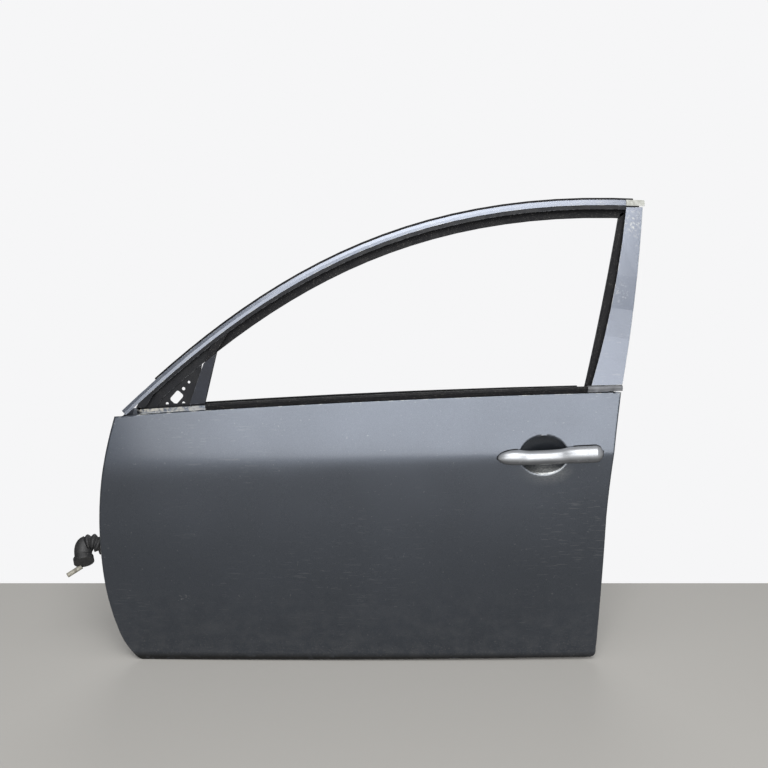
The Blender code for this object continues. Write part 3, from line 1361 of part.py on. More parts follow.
def build_latch():
    wall = REAR_EDGE - REAR_SETBACK - PANEL_SHEET - GAP
    plate_x = wall - LATCH_PLATE
    rim = plate_x - GAP
    low = (rim - LATCH_DEPTH, -0.036, LATCH_Z - LATCH_HEIGHT / 2)
    high = (rim, 0.030, LATCH_Z + LATCH_HEIGHT / 2)
    case = box("latch_case", low, high, black_plastic(), bevel=0.002)
    pocket = box("latch_pocket_cutter", (low[0] + 0.002, low[1] + 0.0025, low[2] + 0.0025),
                 (rim + 0.01, high[1] - 0.0025, high[2] - 0.0025))
    boolean(case, pocket)
    mouth = box("latch_mouth_cutter", (low[0] + 0.002, LATCH_MOUTH_DEPTH, LATCH_Z - LATCH_MOUTH),
                (rim + 0.01, high[1] + 0.01, LATCH_Z + LATCH_MOUTH))
    boolean(case, mouth)
    claw_y, claw_z = CLAW_PIVOT_Y, LATCH_Z + CLAW_PIVOT_RISE
    start, end = (low[0] + 0.001, claw_y, claw_z), (rim - 0.001, claw_y, claw_z)
    boolean(case, drum("claw_pin", start, end, CLAW_PIN, sides=14), "UNION")
    lever_y = CRANK_PIVOT_Y + 2 * ROD_OFFSET
    start = (CRANK_X - CRANK_WIDTH / 2 - 0.001, lever_y, LATCH_LEVER_Z)
    end = (low[0] + 0.001, lever_y, LATCH_LEVER_Z)
    boolean(case, drum("lever_pin", start, end, CRANK_PIN, sides=14), "UNION")
    outline = round_corners([(low[1], low[2]), (high[1], low[2]), (high[1], LATCH_Z - LATCH_MOUTH),
                             (LATCH_MOUTH_DEPTH, LATCH_Z - LATCH_MOUTH), (LATCH_MOUTH_DEPTH, LATCH_Z + LATCH_MOUTH),
                             (high[1], LATCH_Z + LATCH_MOUTH), (high[1], high[2]), (low[1], high[2])], 0.0025, 2)
    holes = [circle(place, SCREW_RADIUS + GAP) for place in latch_screws()]
    flat("latch_plate", [outline] + holes, LATCH_PLATE, zinc_steel(), cross_plane(plate_x + LATCH_PLATE / 2, 0, 0))
    claw = arc((0, 0), CLAW_RADIUS, CLAW_MOUTH_ANGLE + 8, CLAW_MOUTH_ANGLE + 330, 24)
    slot_low, slot_high = -CLAW_PIVOT_RISE - 0.0055, -CLAW_PIVOT_RISE + 0.0055
    claw = [p for p in claw if not (p[0] > 0 and slot_low - 0.001 < p[1] < slot_high + 0.001)]
    upper = (math.sqrt(CLAW_RADIUS ** 2 - slot_high ** 2), slot_high)
    lower = (math.sqrt(CLAW_RADIUS ** 2 - slot_low ** 2), slot_low)
    start = max(range(len(claw)), key=lambda i: (claw[i][0] > 0 and claw[i][1] > slot_high, -claw[i][1]))
    claw = claw[start:] + claw[:start]
    throat = [(0.009, slot_low), (0.006, -CLAW_PIVOT_RISE), (0.009, slot_high)]
    outline = [upper] + claw + [lower] + throat
    x = (low[0] + rim) / 2
    shapes = [outline, circle((0, 0), CLAW_PIN + GAP, 14)]
    made = flat("latch_claw", shapes, 0.006, zinc_steel(), cross_plane(x, claw_y, claw_z))
    set_origin(made, (x, claw_y, claw_z))
    for i, (y, z) in enumerate(latch_screws()):
        face = REAR_EDGE - REAR_SETBACK + GAP
        screw = drum("latch_screw_%d" % (i + 1), (face, y, z), (face + 0.003, y, z), 0.0055, zinc_steel(), 12, 0.0045)
        boolean(screw, drum("screw_shank", (rim - 0.003, y, z), (face + 0.001, y, z), SCREW_RADIUS, sides=12), "UNION")


def build_boot():
    knots = [(-0.003, BOOT_Y, BOOT_Z), (-0.012, BOOT_Y, BOOT_Z + 0.001), (-0.038, -0.013, 0.114),
             (-0.066, -0.015, 0.125), (-0.084, -0.019, 0.121), (-0.090, -0.024, 0.102), (-0.085, -0.028, 0.084)]
    route = [Vector((-0.0006, BOOT_Y, BOOT_Z))] + smooth_route(knots, 7)
    sizes = []
    for i in range(len(route)):
        if i < 2:
            sizes.append(1.35)
        elif i < 24:
            sizes.append(1.10 if i % 3 == 0 else 0.86)
        elif i < 36:
            sizes.append(1.12)
        else:
            sizes.append(1.45 if i > 37 else 1.15)
    tube("harness_boot", route, BOOT_RADIUS, rubber(), sizes, 2)
    drum("harness_plug", (-0.0900, -0.0340, 0.0778), (-0.1200, -0.0460, 0.0613), 0.0055, pale_plastic(), 12)


clear_scene()
build_skin()
cut_inner_panel(build_inner_panel())
cut_at_belt = build_belt_cutter()
build_header_frame(cut_at_belt)
build_header_moulding()
build_header_cap()
build_weatherstrip()
build_pillar_cover()
build_division_bar(cut_at_belt)
build_glass_run()
build_waist_seals()
build_waist_reinforcement()
build_mirror_bracket()
build_hinge_plates()
build_beam()
build_rear_rail()
build_handle()
build_gaskets()
build_carrier()
build_linkage()
build_latch()
build_boot()
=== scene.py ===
import math
import bmesh
import bpy
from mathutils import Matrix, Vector


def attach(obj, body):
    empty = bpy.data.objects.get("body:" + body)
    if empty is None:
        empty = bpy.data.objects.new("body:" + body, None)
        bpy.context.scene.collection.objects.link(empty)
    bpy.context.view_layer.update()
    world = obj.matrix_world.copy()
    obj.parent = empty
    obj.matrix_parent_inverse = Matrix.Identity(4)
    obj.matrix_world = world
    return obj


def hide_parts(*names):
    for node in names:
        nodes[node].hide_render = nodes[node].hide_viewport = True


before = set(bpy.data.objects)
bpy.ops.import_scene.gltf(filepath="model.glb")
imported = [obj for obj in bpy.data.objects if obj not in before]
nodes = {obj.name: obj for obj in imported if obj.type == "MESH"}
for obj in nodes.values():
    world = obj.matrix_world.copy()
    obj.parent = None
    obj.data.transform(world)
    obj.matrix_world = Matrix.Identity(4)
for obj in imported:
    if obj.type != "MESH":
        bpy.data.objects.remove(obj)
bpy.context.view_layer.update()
scene = bpy.context.scene
print("door frame loaded:", len(nodes), "nodes")


# small helpers for node materials
def hexColour(code):
    # sRGB hex to the linear colour that Blender mixes in
    parts = [int(code[i:i + 2], 16) / 255 for i in (1, 3, 5)]
    return tuple(p / 12.92 if p <= 0.04045 else ((p + 0.055) / 1.055) ** 2.4 for p in parts) + (1.0,)


def addNode(tree, kind, settings=None):
    # a setting is a node property or an input, its value a number, a hex colour or another node's socket
    made = tree.nodes.new("ShaderNode" + kind)
    for key, value in (settings or {}).items():
        if isinstance(value, bpy.types.NodeSocket):
            tree.links.new(value, made.inputs[key])
        elif isinstance(key, str) and hasattr(made, key):
            setattr(made, key, value)
        else:
            made.inputs[key].default_value = hexColour(value) if isinstance(value, str) else value
    return made


def startMaterial(name, settings):
    made = bpy.data.materials.new(name)
    made.use_nodes = True
    tree = made.node_tree
    tree.nodes.clear()
    place = addNode(tree, "TexCoord").outputs["Object"]
    shader = addNode(tree, "BsdfPrincipled", settings)
    addNode(tree, "OutputMaterial", {"Surface": shader.outputs["BSDF"]})
    return made, tree, place, shader


def patternScale(millimetres):
    # a texture's scale for spots of this size
    return 1000.0 / millimetres


def noiseMask(tree, place, layer):
    # noise with spots of the layer's size, squeezed between its low and high to a mask from 0 to 1
    if "stretch" in layer:
        place = addNode(tree, "Mapping", {"Vector": place, "Scale": layer["stretch"]}).outputs[0]
    noise = addNode(tree, "TexNoise", {"Vector": place, "Scale": patternScale(layer["size"]),
                                       "Detail": layer.get("detail", 4.0),
                                       "Roughness": layer.get("roughness", 0.55)})
    return addNode(tree, "MapRange", {"Value": noise.outputs["Fac"], "From Min": layer["low"],
                                      "From Max": layer["high"]}).outputs[0]


def combine(tree, operation, *masks):
    # several masks or numbers made into one: MULTIPLY keeps what they share, MAXIMUM the strongest
    result = masks[0]
    for mask in masks[1:]:
        result = addNode(tree, "Math", {"operation": operation, 0: result, 1: mask}).outputs[0]
    return result


def coverWith(tree, below, above, mask, strength=1.0):
    # a colour over another one where the mask is 1, as much as its strength lets through
    amount = combine(tree, "MULTIPLY", mask, strength)
    return addNode(tree, "Mix", {"data_type": "RGBA", 0: amount, 6: below, 7: above}).outputs[2]


def fadeAlong(tree, place, axis, ends):
    # 0 up to the first of two places along an axis and 1 from the second on
    part = addNode(tree, "SeparateXYZ", {"Vector": place}).outputs[axis]
    return addNode(tree, "MapRange", {"Value": part, "From Min": ends[0], "From Max": ends[1]}).outputs[0]


def ballMask(tree, place, centre, reach, full=0.3):
    # 1 in the middle of a soft ball round a point, 0 outside it
    settings = {"Location": [-c / r for c, r in zip(centre, reach)], "Scale": [1 / r for r in reach]}
    inBall = addNode(tree, "Mapping", {"Vector": place, **settings}).outputs[0]
    length = addNode(tree, "VectorMath", {"operation": "LENGTH", 0: inBall}).outputs["Value"]
    return addNode(tree, "MapRange", {"Value": length, "From Min": 1.0, "From Max": full}).outputs[0]


def rimMask(tree, place, layer, low=0.02, high=0.12):
    # patches of the layer's noise where the surface turns over an edge, found by a rounded normal
    soft = addNode(tree, "Bevel", {"Radius": layer["reach"]}).outputs[0]
    sharp = addNode(tree, "NewGeometry").outputs["Normal"]
    turn = addNode(tree, "VectorMath", {"operation": "DISTANCE", 0: soft, 1: sharp}).outputs["Value"]
    edge = addNode(tree, "MapRange", {"Value": turn, "From Min": low, "From Max": high}).outputs[0]
    return combine(tree, "MULTIPLY", edge, noiseMask(tree, place, layer))


def driveInput(tree, shader, name, mask, ends):
    # a shader input goes from the first value to the second as the mask goes from 0 to 1
    ramp = addNode(tree, "MapRange", {"Value": mask, "To Min": ends[0], "To Max": ends[1]})
    tree.links.new(ramp.outputs[0], shader.inputs[name])


def bumpFrom(tree, shader, height, layer):
    settings = {"Strength": layer["strength"], "Distance": layer["depth"]}
    bump = addNode(tree, "Bump", {"Height": height, **settings})
    tree.links.new(bump.outputs["Normal"], shader.inputs["Normal"])


# Colours are sRGB, sizes of spots in millimetres, places and reaches in metres. A layer's mask starts where
# the noise reaches low and is full at high, and its strength is how much of its colour shows there.
# The real flakes are about 0.03 mm and the scratches 0.1 mm wide. Both are drawn coarser here and in the other
# materials, because such fine ones don't show in the render.
paintLook = {
    # the trim's base and flake are the skin's paint drawn lighter: painted light
    "base": "#3d4148", "flake": "#565b63", "trimLitBase": "#4d5159", "trimLitFlake": "#5f636c",
    "primer": "#a9a9a4", "dirt": "#8e8a82",
    "shader": {"Coat Weight": 0.45, "Coat Roughness": 0.14, "Coat IOR": 1.45},
    "roughness": (0.28, 0.34), "dirtRoughness": 0.4, "metallic": (0.93, 0.1),
    "flakes": dict(size=0.9, low=0.35, high=0.70, detail=2.0, strength=0.55),
    "clouds": dict(size=200.0, low=0.35, high=0.65, detail=3.0),
    "dust": dict(size=30.0, low=0.42, high=0.72, detail=6.0, roughness=0.65, strength=0.10),
    "dustHeight": (0.06, -0.165),
    "splash": dict(size=4.0, low=0.60, high=0.66, detail=3.0, strength=0.20),
    "splashHeight": (-0.06, -0.165),
    "hairs": dict(size=11.0, low=0.655, high=0.675, detail=2.0, roughness=0.4, stretch=(0.35, 1.0, 4.0),
                  strength=0.06),
    "hairPatches": dict(size=330.0, low=0.50, high=0.62, detail=2.0),
    "flecks": dict(size=6.0, low=0.715, high=0.735, detail=2.0, roughness=0.5, strength=0.10),
    "rubs": dict(size=6.6, low=0.52, high=0.70, detail=5.0, roughness=0.7, strength=0.5),
    "rubPlaces": (((0.141, -0.05, 0.004), (0.020, 0.05, 0.010)), ((1.150, 0.08, 0.842), (0.030, 0.05, 0.040)),
                  ((1.118, 0.02, 0.700), (0.020, 0.05, 0.030))),
    "rim": dict(size=16.0, low=0.50, high=0.62, reach=0.0012, strength=0.6),
    "peel": dict(size=6.0, low=0.0, high=1.0, detail=2.0, strength=0.05, depth=0.0004),
}
# marks that only the skin has: each pair of places is where the mark fades in and where it is full
skinMarks = {
    "sandColour": "#a8a294", "sand": dict(size=8.0, low=0.40, high=0.60, detail=5.0, strength=0.6),
    "sandHeight": (0.4405, 0.4455), "sandLength": (0.235, 0.205), "sandDepth": (-0.0285, -0.0265),
    # the near-black band along the bottom hem is painted shade, where the door stands on the floor
    "hemShadeColour": "#1b1a19", "hemShade": dict(size=25.0, low=0.20, high=0.42, strength=0.9),
    "hemShadeHeight": (-0.142, -0.156),
    "nails": dict(size=3.3, low=0.20, high=0.60, detail=3.0, roughness=0.5, stretch=(0.6, 1.0, 2.0),
                  strength=0.6),
    "nailDepth": (-0.0535, -0.0500), "nailHeight": (0.336, 0.318),
    "nailPlace": ((0.951, -0.045, 0.318), (0.070, 0.05, 0.040)),
}


def skinDirtAndShade(tree, place, colour, film):
    # sand on the bare flange at the front of the belt, painted shade darkening the bottom hem where it meets
    # the floor, and fingernail scratches in the low half of the handle's dish
    marks = skinMarks
    sand = combine(tree, "MULTIPLY", fadeAlong(tree, place, "Z", marks["sandHeight"]),
                   fadeAlong(tree, place, "X", marks["sandLength"]),
                   fadeAlong(tree, place, "Y", marks["sandDepth"]), noiseMask(tree, place, marks["sand"]))
    colour = coverWith(tree, colour, marks["sandColour"], sand, marks["sand"]["strength"])
    # painted shade: the bottom hem drawn darker, as if in the door's shadow on the floor
    hemShade = combine(tree, "MULTIPLY", fadeAlong(tree, place, "Z", marks["hemShadeHeight"]),
                    noiseMask(tree, place, marks["hemShade"]))
    colour = coverWith(tree, colour, marks["hemShadeColour"], hemShade, marks["hemShade"]["strength"])
    nails = combine(tree, "MULTIPLY", fadeAlong(tree, place, "Y", marks["nailDepth"]),
                    fadeAlong(tree, place, "Z", marks["nailHeight"]),
                    ballMask(tree, place, *marks["nailPlace"]), noiseMask(tree, place, marks["nails"]))
    colour = coverWith(tree, colour, paintLook["primer"], nails, marks["nails"]["strength"])
    return colour, combine(tree, "MAXIMUM", film, sand)


def bodyPaint(name, base, flake, ownMarks=False):
    # metallic body paint: dark grey that lights up towards the sky, with flakes and orange peel under a clear
    # coat, a little road dust low down, hair scratches, stone flecks and edges rubbed to the primer
    look = paintLook
    made, tree, place, shader = startMaterial(name, look["shader"])
    flakes = noiseMask(tree, place, look["flakes"])
    colour = coverWith(tree, base, flake, flakes, look["flakes"]["strength"])
    balls = [ballMask(tree, place, *rub) for rub in look["rubPlaces"]]
    masks = {
        "dust": (fadeAlong(tree, place, "Z", look["dustHeight"]), noiseMask(tree, place, look["dust"])),
        "splash": (fadeAlong(tree, place, "Z", look["splashHeight"]), noiseMask(tree, place, look["splash"])),
        "hairs": (noiseMask(tree, place, look["hairs"]), noiseMask(tree, place, look["hairPatches"])),
        "flecks": (noiseMask(tree, place, look["flecks"]),),
        "rubs": (combine(tree, "MAXIMUM", *balls), noiseMask(tree, place, look["rubs"])),
        "rim": (rimMask(tree, place, look["rim"]),),
    }
    shown = {key: combine(tree, "MULTIPLY", *mask, look[key]["strength"]) for key, mask in masks.items()}
    film = combine(tree, "MAXIMUM", shown["dust"], shown["splash"])
    colour = coverWith(tree, colour, look["dirt"], film)
    worn = combine(tree, "MAXIMUM", shown["hairs"], shown["flecks"], shown["rubs"], shown["rim"])
    colour = coverWith(tree, colour, look["primer"], worn)
    film = combine(tree, "MAXIMUM", film, worn)
    if ownMarks:
        colour, film = skinDirtAndShade(tree, place, colour, film)
    tree.links.new(colour, shader.inputs["Base Color"])
    driveInput(tree, shader, "Metallic", film, look["metallic"])
    low, high = look["roughness"]
    clouds = noiseMask(tree, place, look["clouds"])
    clean = addNode(tree, "MapRange", {"Value": clouds, "To Min": low, "To Max": high})
    rough = addNode(tree, "Math", {"operation": "MULTIPLY_ADD", 0: film, 1: look["dirtRoughness"],
                                   2: clean.outputs[0]})
    tree.links.new(rough.outputs[0], shader.inputs["Roughness"])
    bumpFrom(tree, shader, noiseMask(tree, place, look["peel"]), look["peel"])
    return made


# the grit is dust of 0.2 mm, drawn coarser so that it shows
thinPaintLook = {
    "thin": "#5d6168", "full": "#747982", "gritColour": "#97958e", "waxColour": "#8a7f66", "bare": "#a3a39e",
    "shader": {"Coat Weight": 0.15, "Coat Roughness": 0.3},
    "roughness": (0.42, 0.58), "metallic": (0.5, 0.15),
    "spray": dict(size=55.0, low=0.35, high=0.68, detail=5.0, roughness=0.6),
    "grit": dict(size=2.4, low=0.55, high=0.70, detail=3.0, strength=0.25),
    "wax": dict(size=110.0, low=0.58, high=0.66, detail=3.0, roughness=0.5, stretch=(1.0, 1.0, 0.25),
                strength=0.35),
    "rim": dict(size=13.0, low=0.48, high=0.60, reach=0.0012, strength=0.6),
    "peel": dict(size=3.3, low=0.0, high=1.0, detail=3.0, strength=0.10, depth=0.0003),
}


def thinPaint():
    # primer coat inside the door: the same grey, sprayed thinner and duller, with settled dust and wax runs
    look = thinPaintLook
    made, tree, place, shader = startMaterial("thinPaint", look["shader"])
    spray = noiseMask(tree, place, look["spray"])
    grit = noiseMask(tree, place, look["grit"])
    wax = noiseMask(tree, place, look["wax"])
    rim = rimMask(tree, place, look["rim"])
    colour = coverWith(tree, look["thin"], look["full"], spray)
    colour = coverWith(tree, colour, look["gritColour"], grit, look["grit"]["strength"])
    colour = coverWith(tree, colour, look["waxColour"], wax, look["wax"]["strength"])
    colour = coverWith(tree, colour, look["bare"], rim, look["rim"]["strength"])
    tree.links.new(colour, shader.inputs["Base Color"])
    driveInput(tree, shader, "Roughness", combine(tree, "MAXIMUM", spray, wax), look["roughness"])
    driveInput(tree, shader, "Metallic", combine(tree, "MAXIMUM", grit, wax), look["metallic"])
    bumpFrom(tree, shader, noiseMask(tree, place, look["peel"]), look["peel"])
    return made


blackSteelLook = {
    "frame": ("#0b0c0f", "#26272c"), "bar": ("#181a20", "#3a3d46"), "bare": "#7d7f83",
    "shader": {"Metallic": 0.0, "Specular IOR Level": 0.12}, "roughness": (0.34, 0.62),
    "dust": dict(size=22.0, low=0.42, high=0.75, detail=6.0, roughness=0.65, strength=0.3),
    "rim": dict(size=8.0, low=0.46, high=0.60, reach=0.0008, strength=0.45),
    "scratches": dict(size=14.0, low=0.66, high=0.69, detail=5.0, roughness=0.7, stretch=(0.5, 1.0, 1.6),
                      strength=0.3),
    "scratchPatches": dict(size=70.0, low=0.52, high=0.62, detail=2.0),
    "skin": dict(size=4.5, low=0.0, high=1.0, detail=3.0, strength=0.12, depth=0.0003),
}


def blackSteel(name, colours):
    # electrocoated steel: satin black, greyed by dust, bare specks along its edges
    look = blackSteelLook
    made, tree, place, shader = startMaterial(name, look["shader"])
    dust = noiseMask(tree, place, look["dust"])
    colour = coverWith(tree, *colours, dust, look["dust"]["strength"])
    rim = combine(tree, "MULTIPLY", rimMask(tree, place, look["rim"]), look["rim"]["strength"])
    scratches = combine(tree, "MULTIPLY", noiseMask(tree, place, look["scratches"]),
                        noiseMask(tree, place, look["scratchPatches"]), look["scratches"]["strength"])
    colour = coverWith(tree, colour, look["bare"], combine(tree, "MAXIMUM", rim, scratches))
    tree.links.new(colour, shader.inputs["Base Color"])
    driveInput(tree, shader, "Roughness", dust, look["roughness"])
    bumpFrom(tree, shader, noiseMask(tree, place, look["skin"]), look["skin"])
    return made


# the pores and the dust in them are about 0.3 mm, drawn coarser so that they show
rubberLook = {
    "fresh": "#09090b", "bloomed": "#17171a", "dust": "#6d6a64", "sealShine": 0.12, "bootShine": 0.6,
    "roughness": (0.55, 0.85),
    "bloom": dict(size=38.0, low=0.38, high=0.72, detail=6.0, roughness=0.65, strength=0.6),
    "specks": dict(size=1.9, low=0.62, high=0.70, detail=2.0, strength=0.35),
    "grain": dict(size=1.4, low=0.0, high=1.0, strength=0.25, depth=0.0003),
}


def sealRubber(name, shine):
    # moulded EPDM rubber: matt black with a grey bloom and dust in its pores, glossier on the boot
    look = rubberLook
    made, tree, place, shader = startMaterial(name, {"Specular IOR Level": shine})
    bloom = noiseMask(tree, place, look["bloom"])
    colour = coverWith(tree, look["fresh"], look["bloomed"], bloom, look["bloom"]["strength"])
    specks = noiseMask(tree, place, look["specks"])
    colour = coverWith(tree, colour, look["dust"], specks, look["specks"]["strength"])
    tree.links.new(colour, shader.inputs["Base Color"])
    driveInput(tree, shader, "Roughness", bloom, look["roughness"])
    bumpFrom(tree, shader, noiseMask(tree, place, look["grain"]), look["grain"])
    return made


# zinc crystals too fine to see on real plate, drawn coarser so that the surface isn't flat grey
zincLook = {
    "dark": "#8c8d88", "light": "#a9a99f", "bloomed": "#c9c8c2", "rusted": "#6b4a35", "crystalSize": 4.3,
    "shader": {"Anisotropic": 0.2}, "roughness": (0.32, 0.62), "metallic": (1.0, 0.4),
    "bloom": dict(size=18.0, low=0.50, high=0.70, detail=6.0, roughness=0.65, strength=0.6),
    "rust": dict(size=6.2, low=0.56, high=0.64, reach=0.0008, strength=0.7),
    "grain": dict(size=2.6, low=0.0, high=1.0, detail=3.0, strength=0.12, depth=0.0002),
}


def zincSteel():
    # zinc plate: pale grey metal in small crystals, dulled by white bloom, with rust starting along its edges
    look = zincLook
    made, tree, place, shader = startMaterial("zincSteel", look["shader"])
    crystals = addNode(tree, "TexVoronoi", {"Vector": place, "Scale": patternScale(look["crystalSize"])})
    colour = coverWith(tree, look["dark"], look["light"], crystals.outputs["Color"])
    bloom = noiseMask(tree, place, look["bloom"])
    colour = coverWith(tree, colour, look["bloomed"], bloom, look["bloom"]["strength"])
    rust = rimMask(tree, place, look["rust"])
    colour = coverWith(tree, colour, look["rusted"], rust, look["rust"]["strength"])
    tree.links.new(colour, shader.inputs["Base Color"])
    driveInput(tree, shader, "Roughness", bloom, look["roughness"])
    driveInput(tree, shader, "Metallic", combine(tree, "MAXIMUM", bloom, rust), look["metallic"])
    bumpFrom(tree, shader, noiseMask(tree, place, look["grain"]), look["grain"])
    return made


# moulded grain of about 0.3 mm, drawn coarser so that it shows
plasticLook = {
    "black": "#131315", "hazed": "#28282b", "rubbed": "#77777a", "shader": {"Specular IOR Level": 0.3},
    "roughness": (0.42, 0.66),
    "haze": dict(size=25.0, low=0.40, high=0.74, detail=5.0, roughness=0.6, strength=0.5),
    "rim": dict(size=8.0, low=0.45, high=0.62, reach=0.0008, strength=0.5),
    "grain": dict(size=1.1, low=0.25, high=0.75, detail=2.0, strength=0.35, depth=0.0003),
}


def blackPlastic():
    # glass-filled nylon, moulded: black with a fine grain, whitened where it has rubbed
    look = plasticLook
    made, tree, place, shader = startMaterial("blackPlastic", look["shader"])
    haze = noiseMask(tree, place, look["haze"])
    colour = coverWith(tree, look["black"], look["hazed"], haze, look["haze"]["strength"])
    rim = rimMask(tree, place, look["rim"])
    colour = coverWith(tree, colour, look["rubbed"], rim, look["rim"]["strength"])
    tree.links.new(colour, shader.inputs["Base Color"])
    driveInput(tree, shader, "Roughness", haze, look["roughness"])
    bumpFrom(tree, shader, noiseMask(tree, place, look["grain"]), look["grain"])
    return made


# the moulded grain is about 0.3 mm, drawn at 0.9 mm so that it shows
trimLook = {
    "dark": "#3b3c3f", "faded": "#5d5e61", "shader": {"Specular IOR Level": 0.45}, "roughness": (0.5, 0.7),
    "fade": dict(size=16.0, low=0.35, high=0.70, detail=5.0, roughness=0.6),
    "grain": dict(size=0.9, strength=0.5, depth=0.0004),
}


def grainedTrim():
    # the belt seal's end cap: polypropylene with a coarse moulded grain, faded to a dark grey by the sun
    look = trimLook
    made, tree, place, shader = startMaterial("grainedTrim", look["shader"])
    fade = noiseMask(tree, place, look["fade"])
    tree.links.new(coverWith(tree, look["dark"], look["faded"], fade), shader.inputs["Base Color"])
    driveInput(tree, shader, "Roughness", fade, look["roughness"])
    cells = addNode(tree, "TexVoronoi", {"Vector": place, "Scale": patternScale(look["grain"]["size"])})
    bumpFrom(tree, shader, cells.outputs["Distance"], look["grain"])
    return made


# the lacquer's flakes are about 0.03 mm, drawn coarser so that they show
silverLook = {
    # the last colour on the next line darkens the grip's underside: painted shade, mixed with grease
    "dark": "#85878a", "light": "#999b9e", "worn": "#6f7072", "greaseAndShadeColour": "#3c3d40",
    "shader": {"Coat Weight": 0.3, "Coat Roughness": 0.1}, "roughness": (0.34, 0.42), "metallic": (0.6, 0.2),
    "flakes": dict(size=0.7, low=0.35, high=0.70, detail=2.0),
    "nails": dict(size=2.4, low=0.62, high=0.66, detail=2.0, roughness=0.4, stretch=(0.5, 1.0, 1.6),
                  strength=0.6),
    "nailPlace": ((0.951, -0.070, 0.340), (0.060, 0.03, 0.02)),
    "rim": dict(size=6.6, low=0.52, high=0.64, reach=0.0006, strength=0.5),
    # the grip drawn darker where it faces down: painted shade, with some grease
    "greaseAndShade": dict(size=20.0, low=0.10, high=0.40, detail=3.0, strength=0.75), "greaseAndShadeFacing": (0.10, -0.30),
    "smear": dict(size=33.0, low=0.35, high=0.70, detail=5.0),
    "peel": dict(size=6.2, low=0.0, high=1.0, detail=2.0, strength=0.03, depth=0.0003),
}


def silverPaint():
    # silver lacquer on moulded ABS: bright and even, nail scratches behind the grip, grease and painted shade
    # darkening its underside
    look = silverLook
    made, tree, place, shader = startMaterial("silverPaint", look["shader"])
    colour = coverWith(tree, look["dark"], look["light"], noiseMask(tree, place, look["flakes"]))
    nails = combine(tree, "MULTIPLY", noiseMask(tree, place, look["nails"]),
                    ballMask(tree, place, *look["nailPlace"]))
    rim = rimMask(tree, place, look["rim"])
    worn = combine(tree, "MAXIMUM", combine(tree, "MULTIPLY", nails, look["nails"]["strength"]),
                   combine(tree, "MULTIPLY", rim, look["rim"]["strength"]))
    colour = coverWith(tree, colour, look["worn"], worn)
    # downward faces darkened: painted shade mixed with grease
    facing = addNode(tree, "NewGeometry").outputs["Normal"]
    greaseAndShadeMask = combine(tree, "MULTIPLY", fadeAlong(tree, facing, "Z", look["greaseAndShadeFacing"]),
                    noiseMask(tree, place, look["greaseAndShade"]))
    colour = coverWith(tree, colour, look["greaseAndShadeColour"], greaseAndShadeMask, look["greaseAndShade"]["strength"])
    tree.links.new(colour, shader.inputs["Base Color"])
    driveInput(tree, shader, "Roughness", noiseMask(tree, place, look["smear"]), look["roughness"])
    driveInput(tree, shader, "Metallic", combine(tree, "MAXIMUM", nails, rim), look["metallic"])
    bumpFrom(tree, shader, noiseMask(tree, place, look["peel"]), look["peel"])
    return made


# a moulded grain of about 0.3 mm, drawn coarser so that it shows
palePlasticLook = {
    "cap": ("#8f908b", "#72726c"), "plug": ("#7b786e", "#4a463e"), "shader": {"Specular IOR Level": 0.4},
    "roughness": (0.45, 0.7),
    "dirt": dict(size=8.3, low=0.42, high=0.70, detail=5.0, roughness=0.6),
    "grain": dict(size=1.25, low=0.2, high=0.8, detail=2.0, strength=0.25, depth=0.0003),
}


def palePlastic(name, colours):
    # unpainted nylon: pale and slightly yellowed, with dirt rubbed into its moulded grain
    look = palePlasticLook
    made, tree, place, shader = startMaterial(name, look["shader"])
    dirt = noiseMask(tree, place, look["dirt"])
    tree.links.new(coverWith(tree, *colours, dirt), shader.inputs["Base Color"])
    driveInput(tree, shader, "Roughness", dirt, look["roughness"])
    bumpFrom(tree, shader, noiseMask(tree, place, look["grain"]), look["grain"])
    return made


# each look is a material and the slot of the part that it fills
looks = {
    # the moulding and pillar cover get a lighter copy of the skin's paint: painted light
    "paint": (bodyPaint("bodyPaint", paintLook["trimLitBase"], paintLook["trimLitFlake"]), "grey_metallic_paint"),
    "skinPaint": (bodyPaint("skinPaint", paintLook["base"], paintLook["flake"], True), "grey_metallic_paint"),
    "thinPaint": (thinPaint(), "grey_metallic_paint"),
    "blackSteel": (blackSteel("blackSteel", blackSteelLook["frame"]), "black_painted_steel"),
    "barSteel": (blackSteel("barSteel", blackSteelLook["bar"]), "grey_metallic_paint"),
    "rubber": (sealRubber("sealRubber", rubberLook["sealShine"]), "black_rubber"),
    "bootRubber": (sealRubber("bootRubber", rubberLook["bootShine"]), "black_rubber"),
    "zinc": (zincSteel(), "zinc_plated_steel"),
    "plastic": (blackPlastic(), "black_plastic"),
    "grained": (grainedTrim(), "black_plastic"),
    "silver": (silverPaint(), "silver_painted_plastic"),
    "cream": (palePlastic("creamPlastic", palePlasticLook["cap"]), "grey_plastic"),
    "plug": (palePlastic("plugPlastic", palePlasticLook["plug"]), "grey_plastic"),
}
print("materials made:", len(looks))


# pieces made from the CAD nodes
def placeMesh(name, shape):
    mesh = bpy.data.meshes.new(name)
    shape.to_mesh(mesh)
    shape.free()
    made = bpy.data.objects.new(name, mesh)
    scene.collection.objects.link(made)
    return made


def finishPiece(name, shape, look, node, body, angle):
    # angle is how many degrees an edge turns before it is drawn sharp
    bmesh.ops.recalc_face_normals(shape, faces=shape.faces)
    piece = placeMesh(name, shape)
    material, slotName = looks[look]
    piece.data.materials.append(material)
    piece.data.shade_smooth()
    piece.data.set_sharp_from_angle(angle=math.radians(angle))
    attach(piece, body)
    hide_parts(node)
    return piece


def weldedCopy(node, weldDistance=0.00001, flatAngle=0.3):
    # the node's triangles joined up again, with flat areas as single faces
    shape = bmesh.new()
    shape.from_mesh(nodes[node].data)
    bmesh.ops.remove_doubles(shape, verts=shape.verts, dist=weldDistance)
    bmesh.ops.dissolve_limit(shape, angle_limit=math.radians(flatAngle), verts=shape.verts, edges=shape.edges)
    return shape


def softenEdges(piece, width, angle=40.0, segments=2):
    step = piece.modifiers.new("softEdges", "BEVEL")
    step.width = width
    step.segments = segments
    step.limit_method = "ANGLE"
    step.angle_limit = math.radians(angle)
    step.harden_normals = True


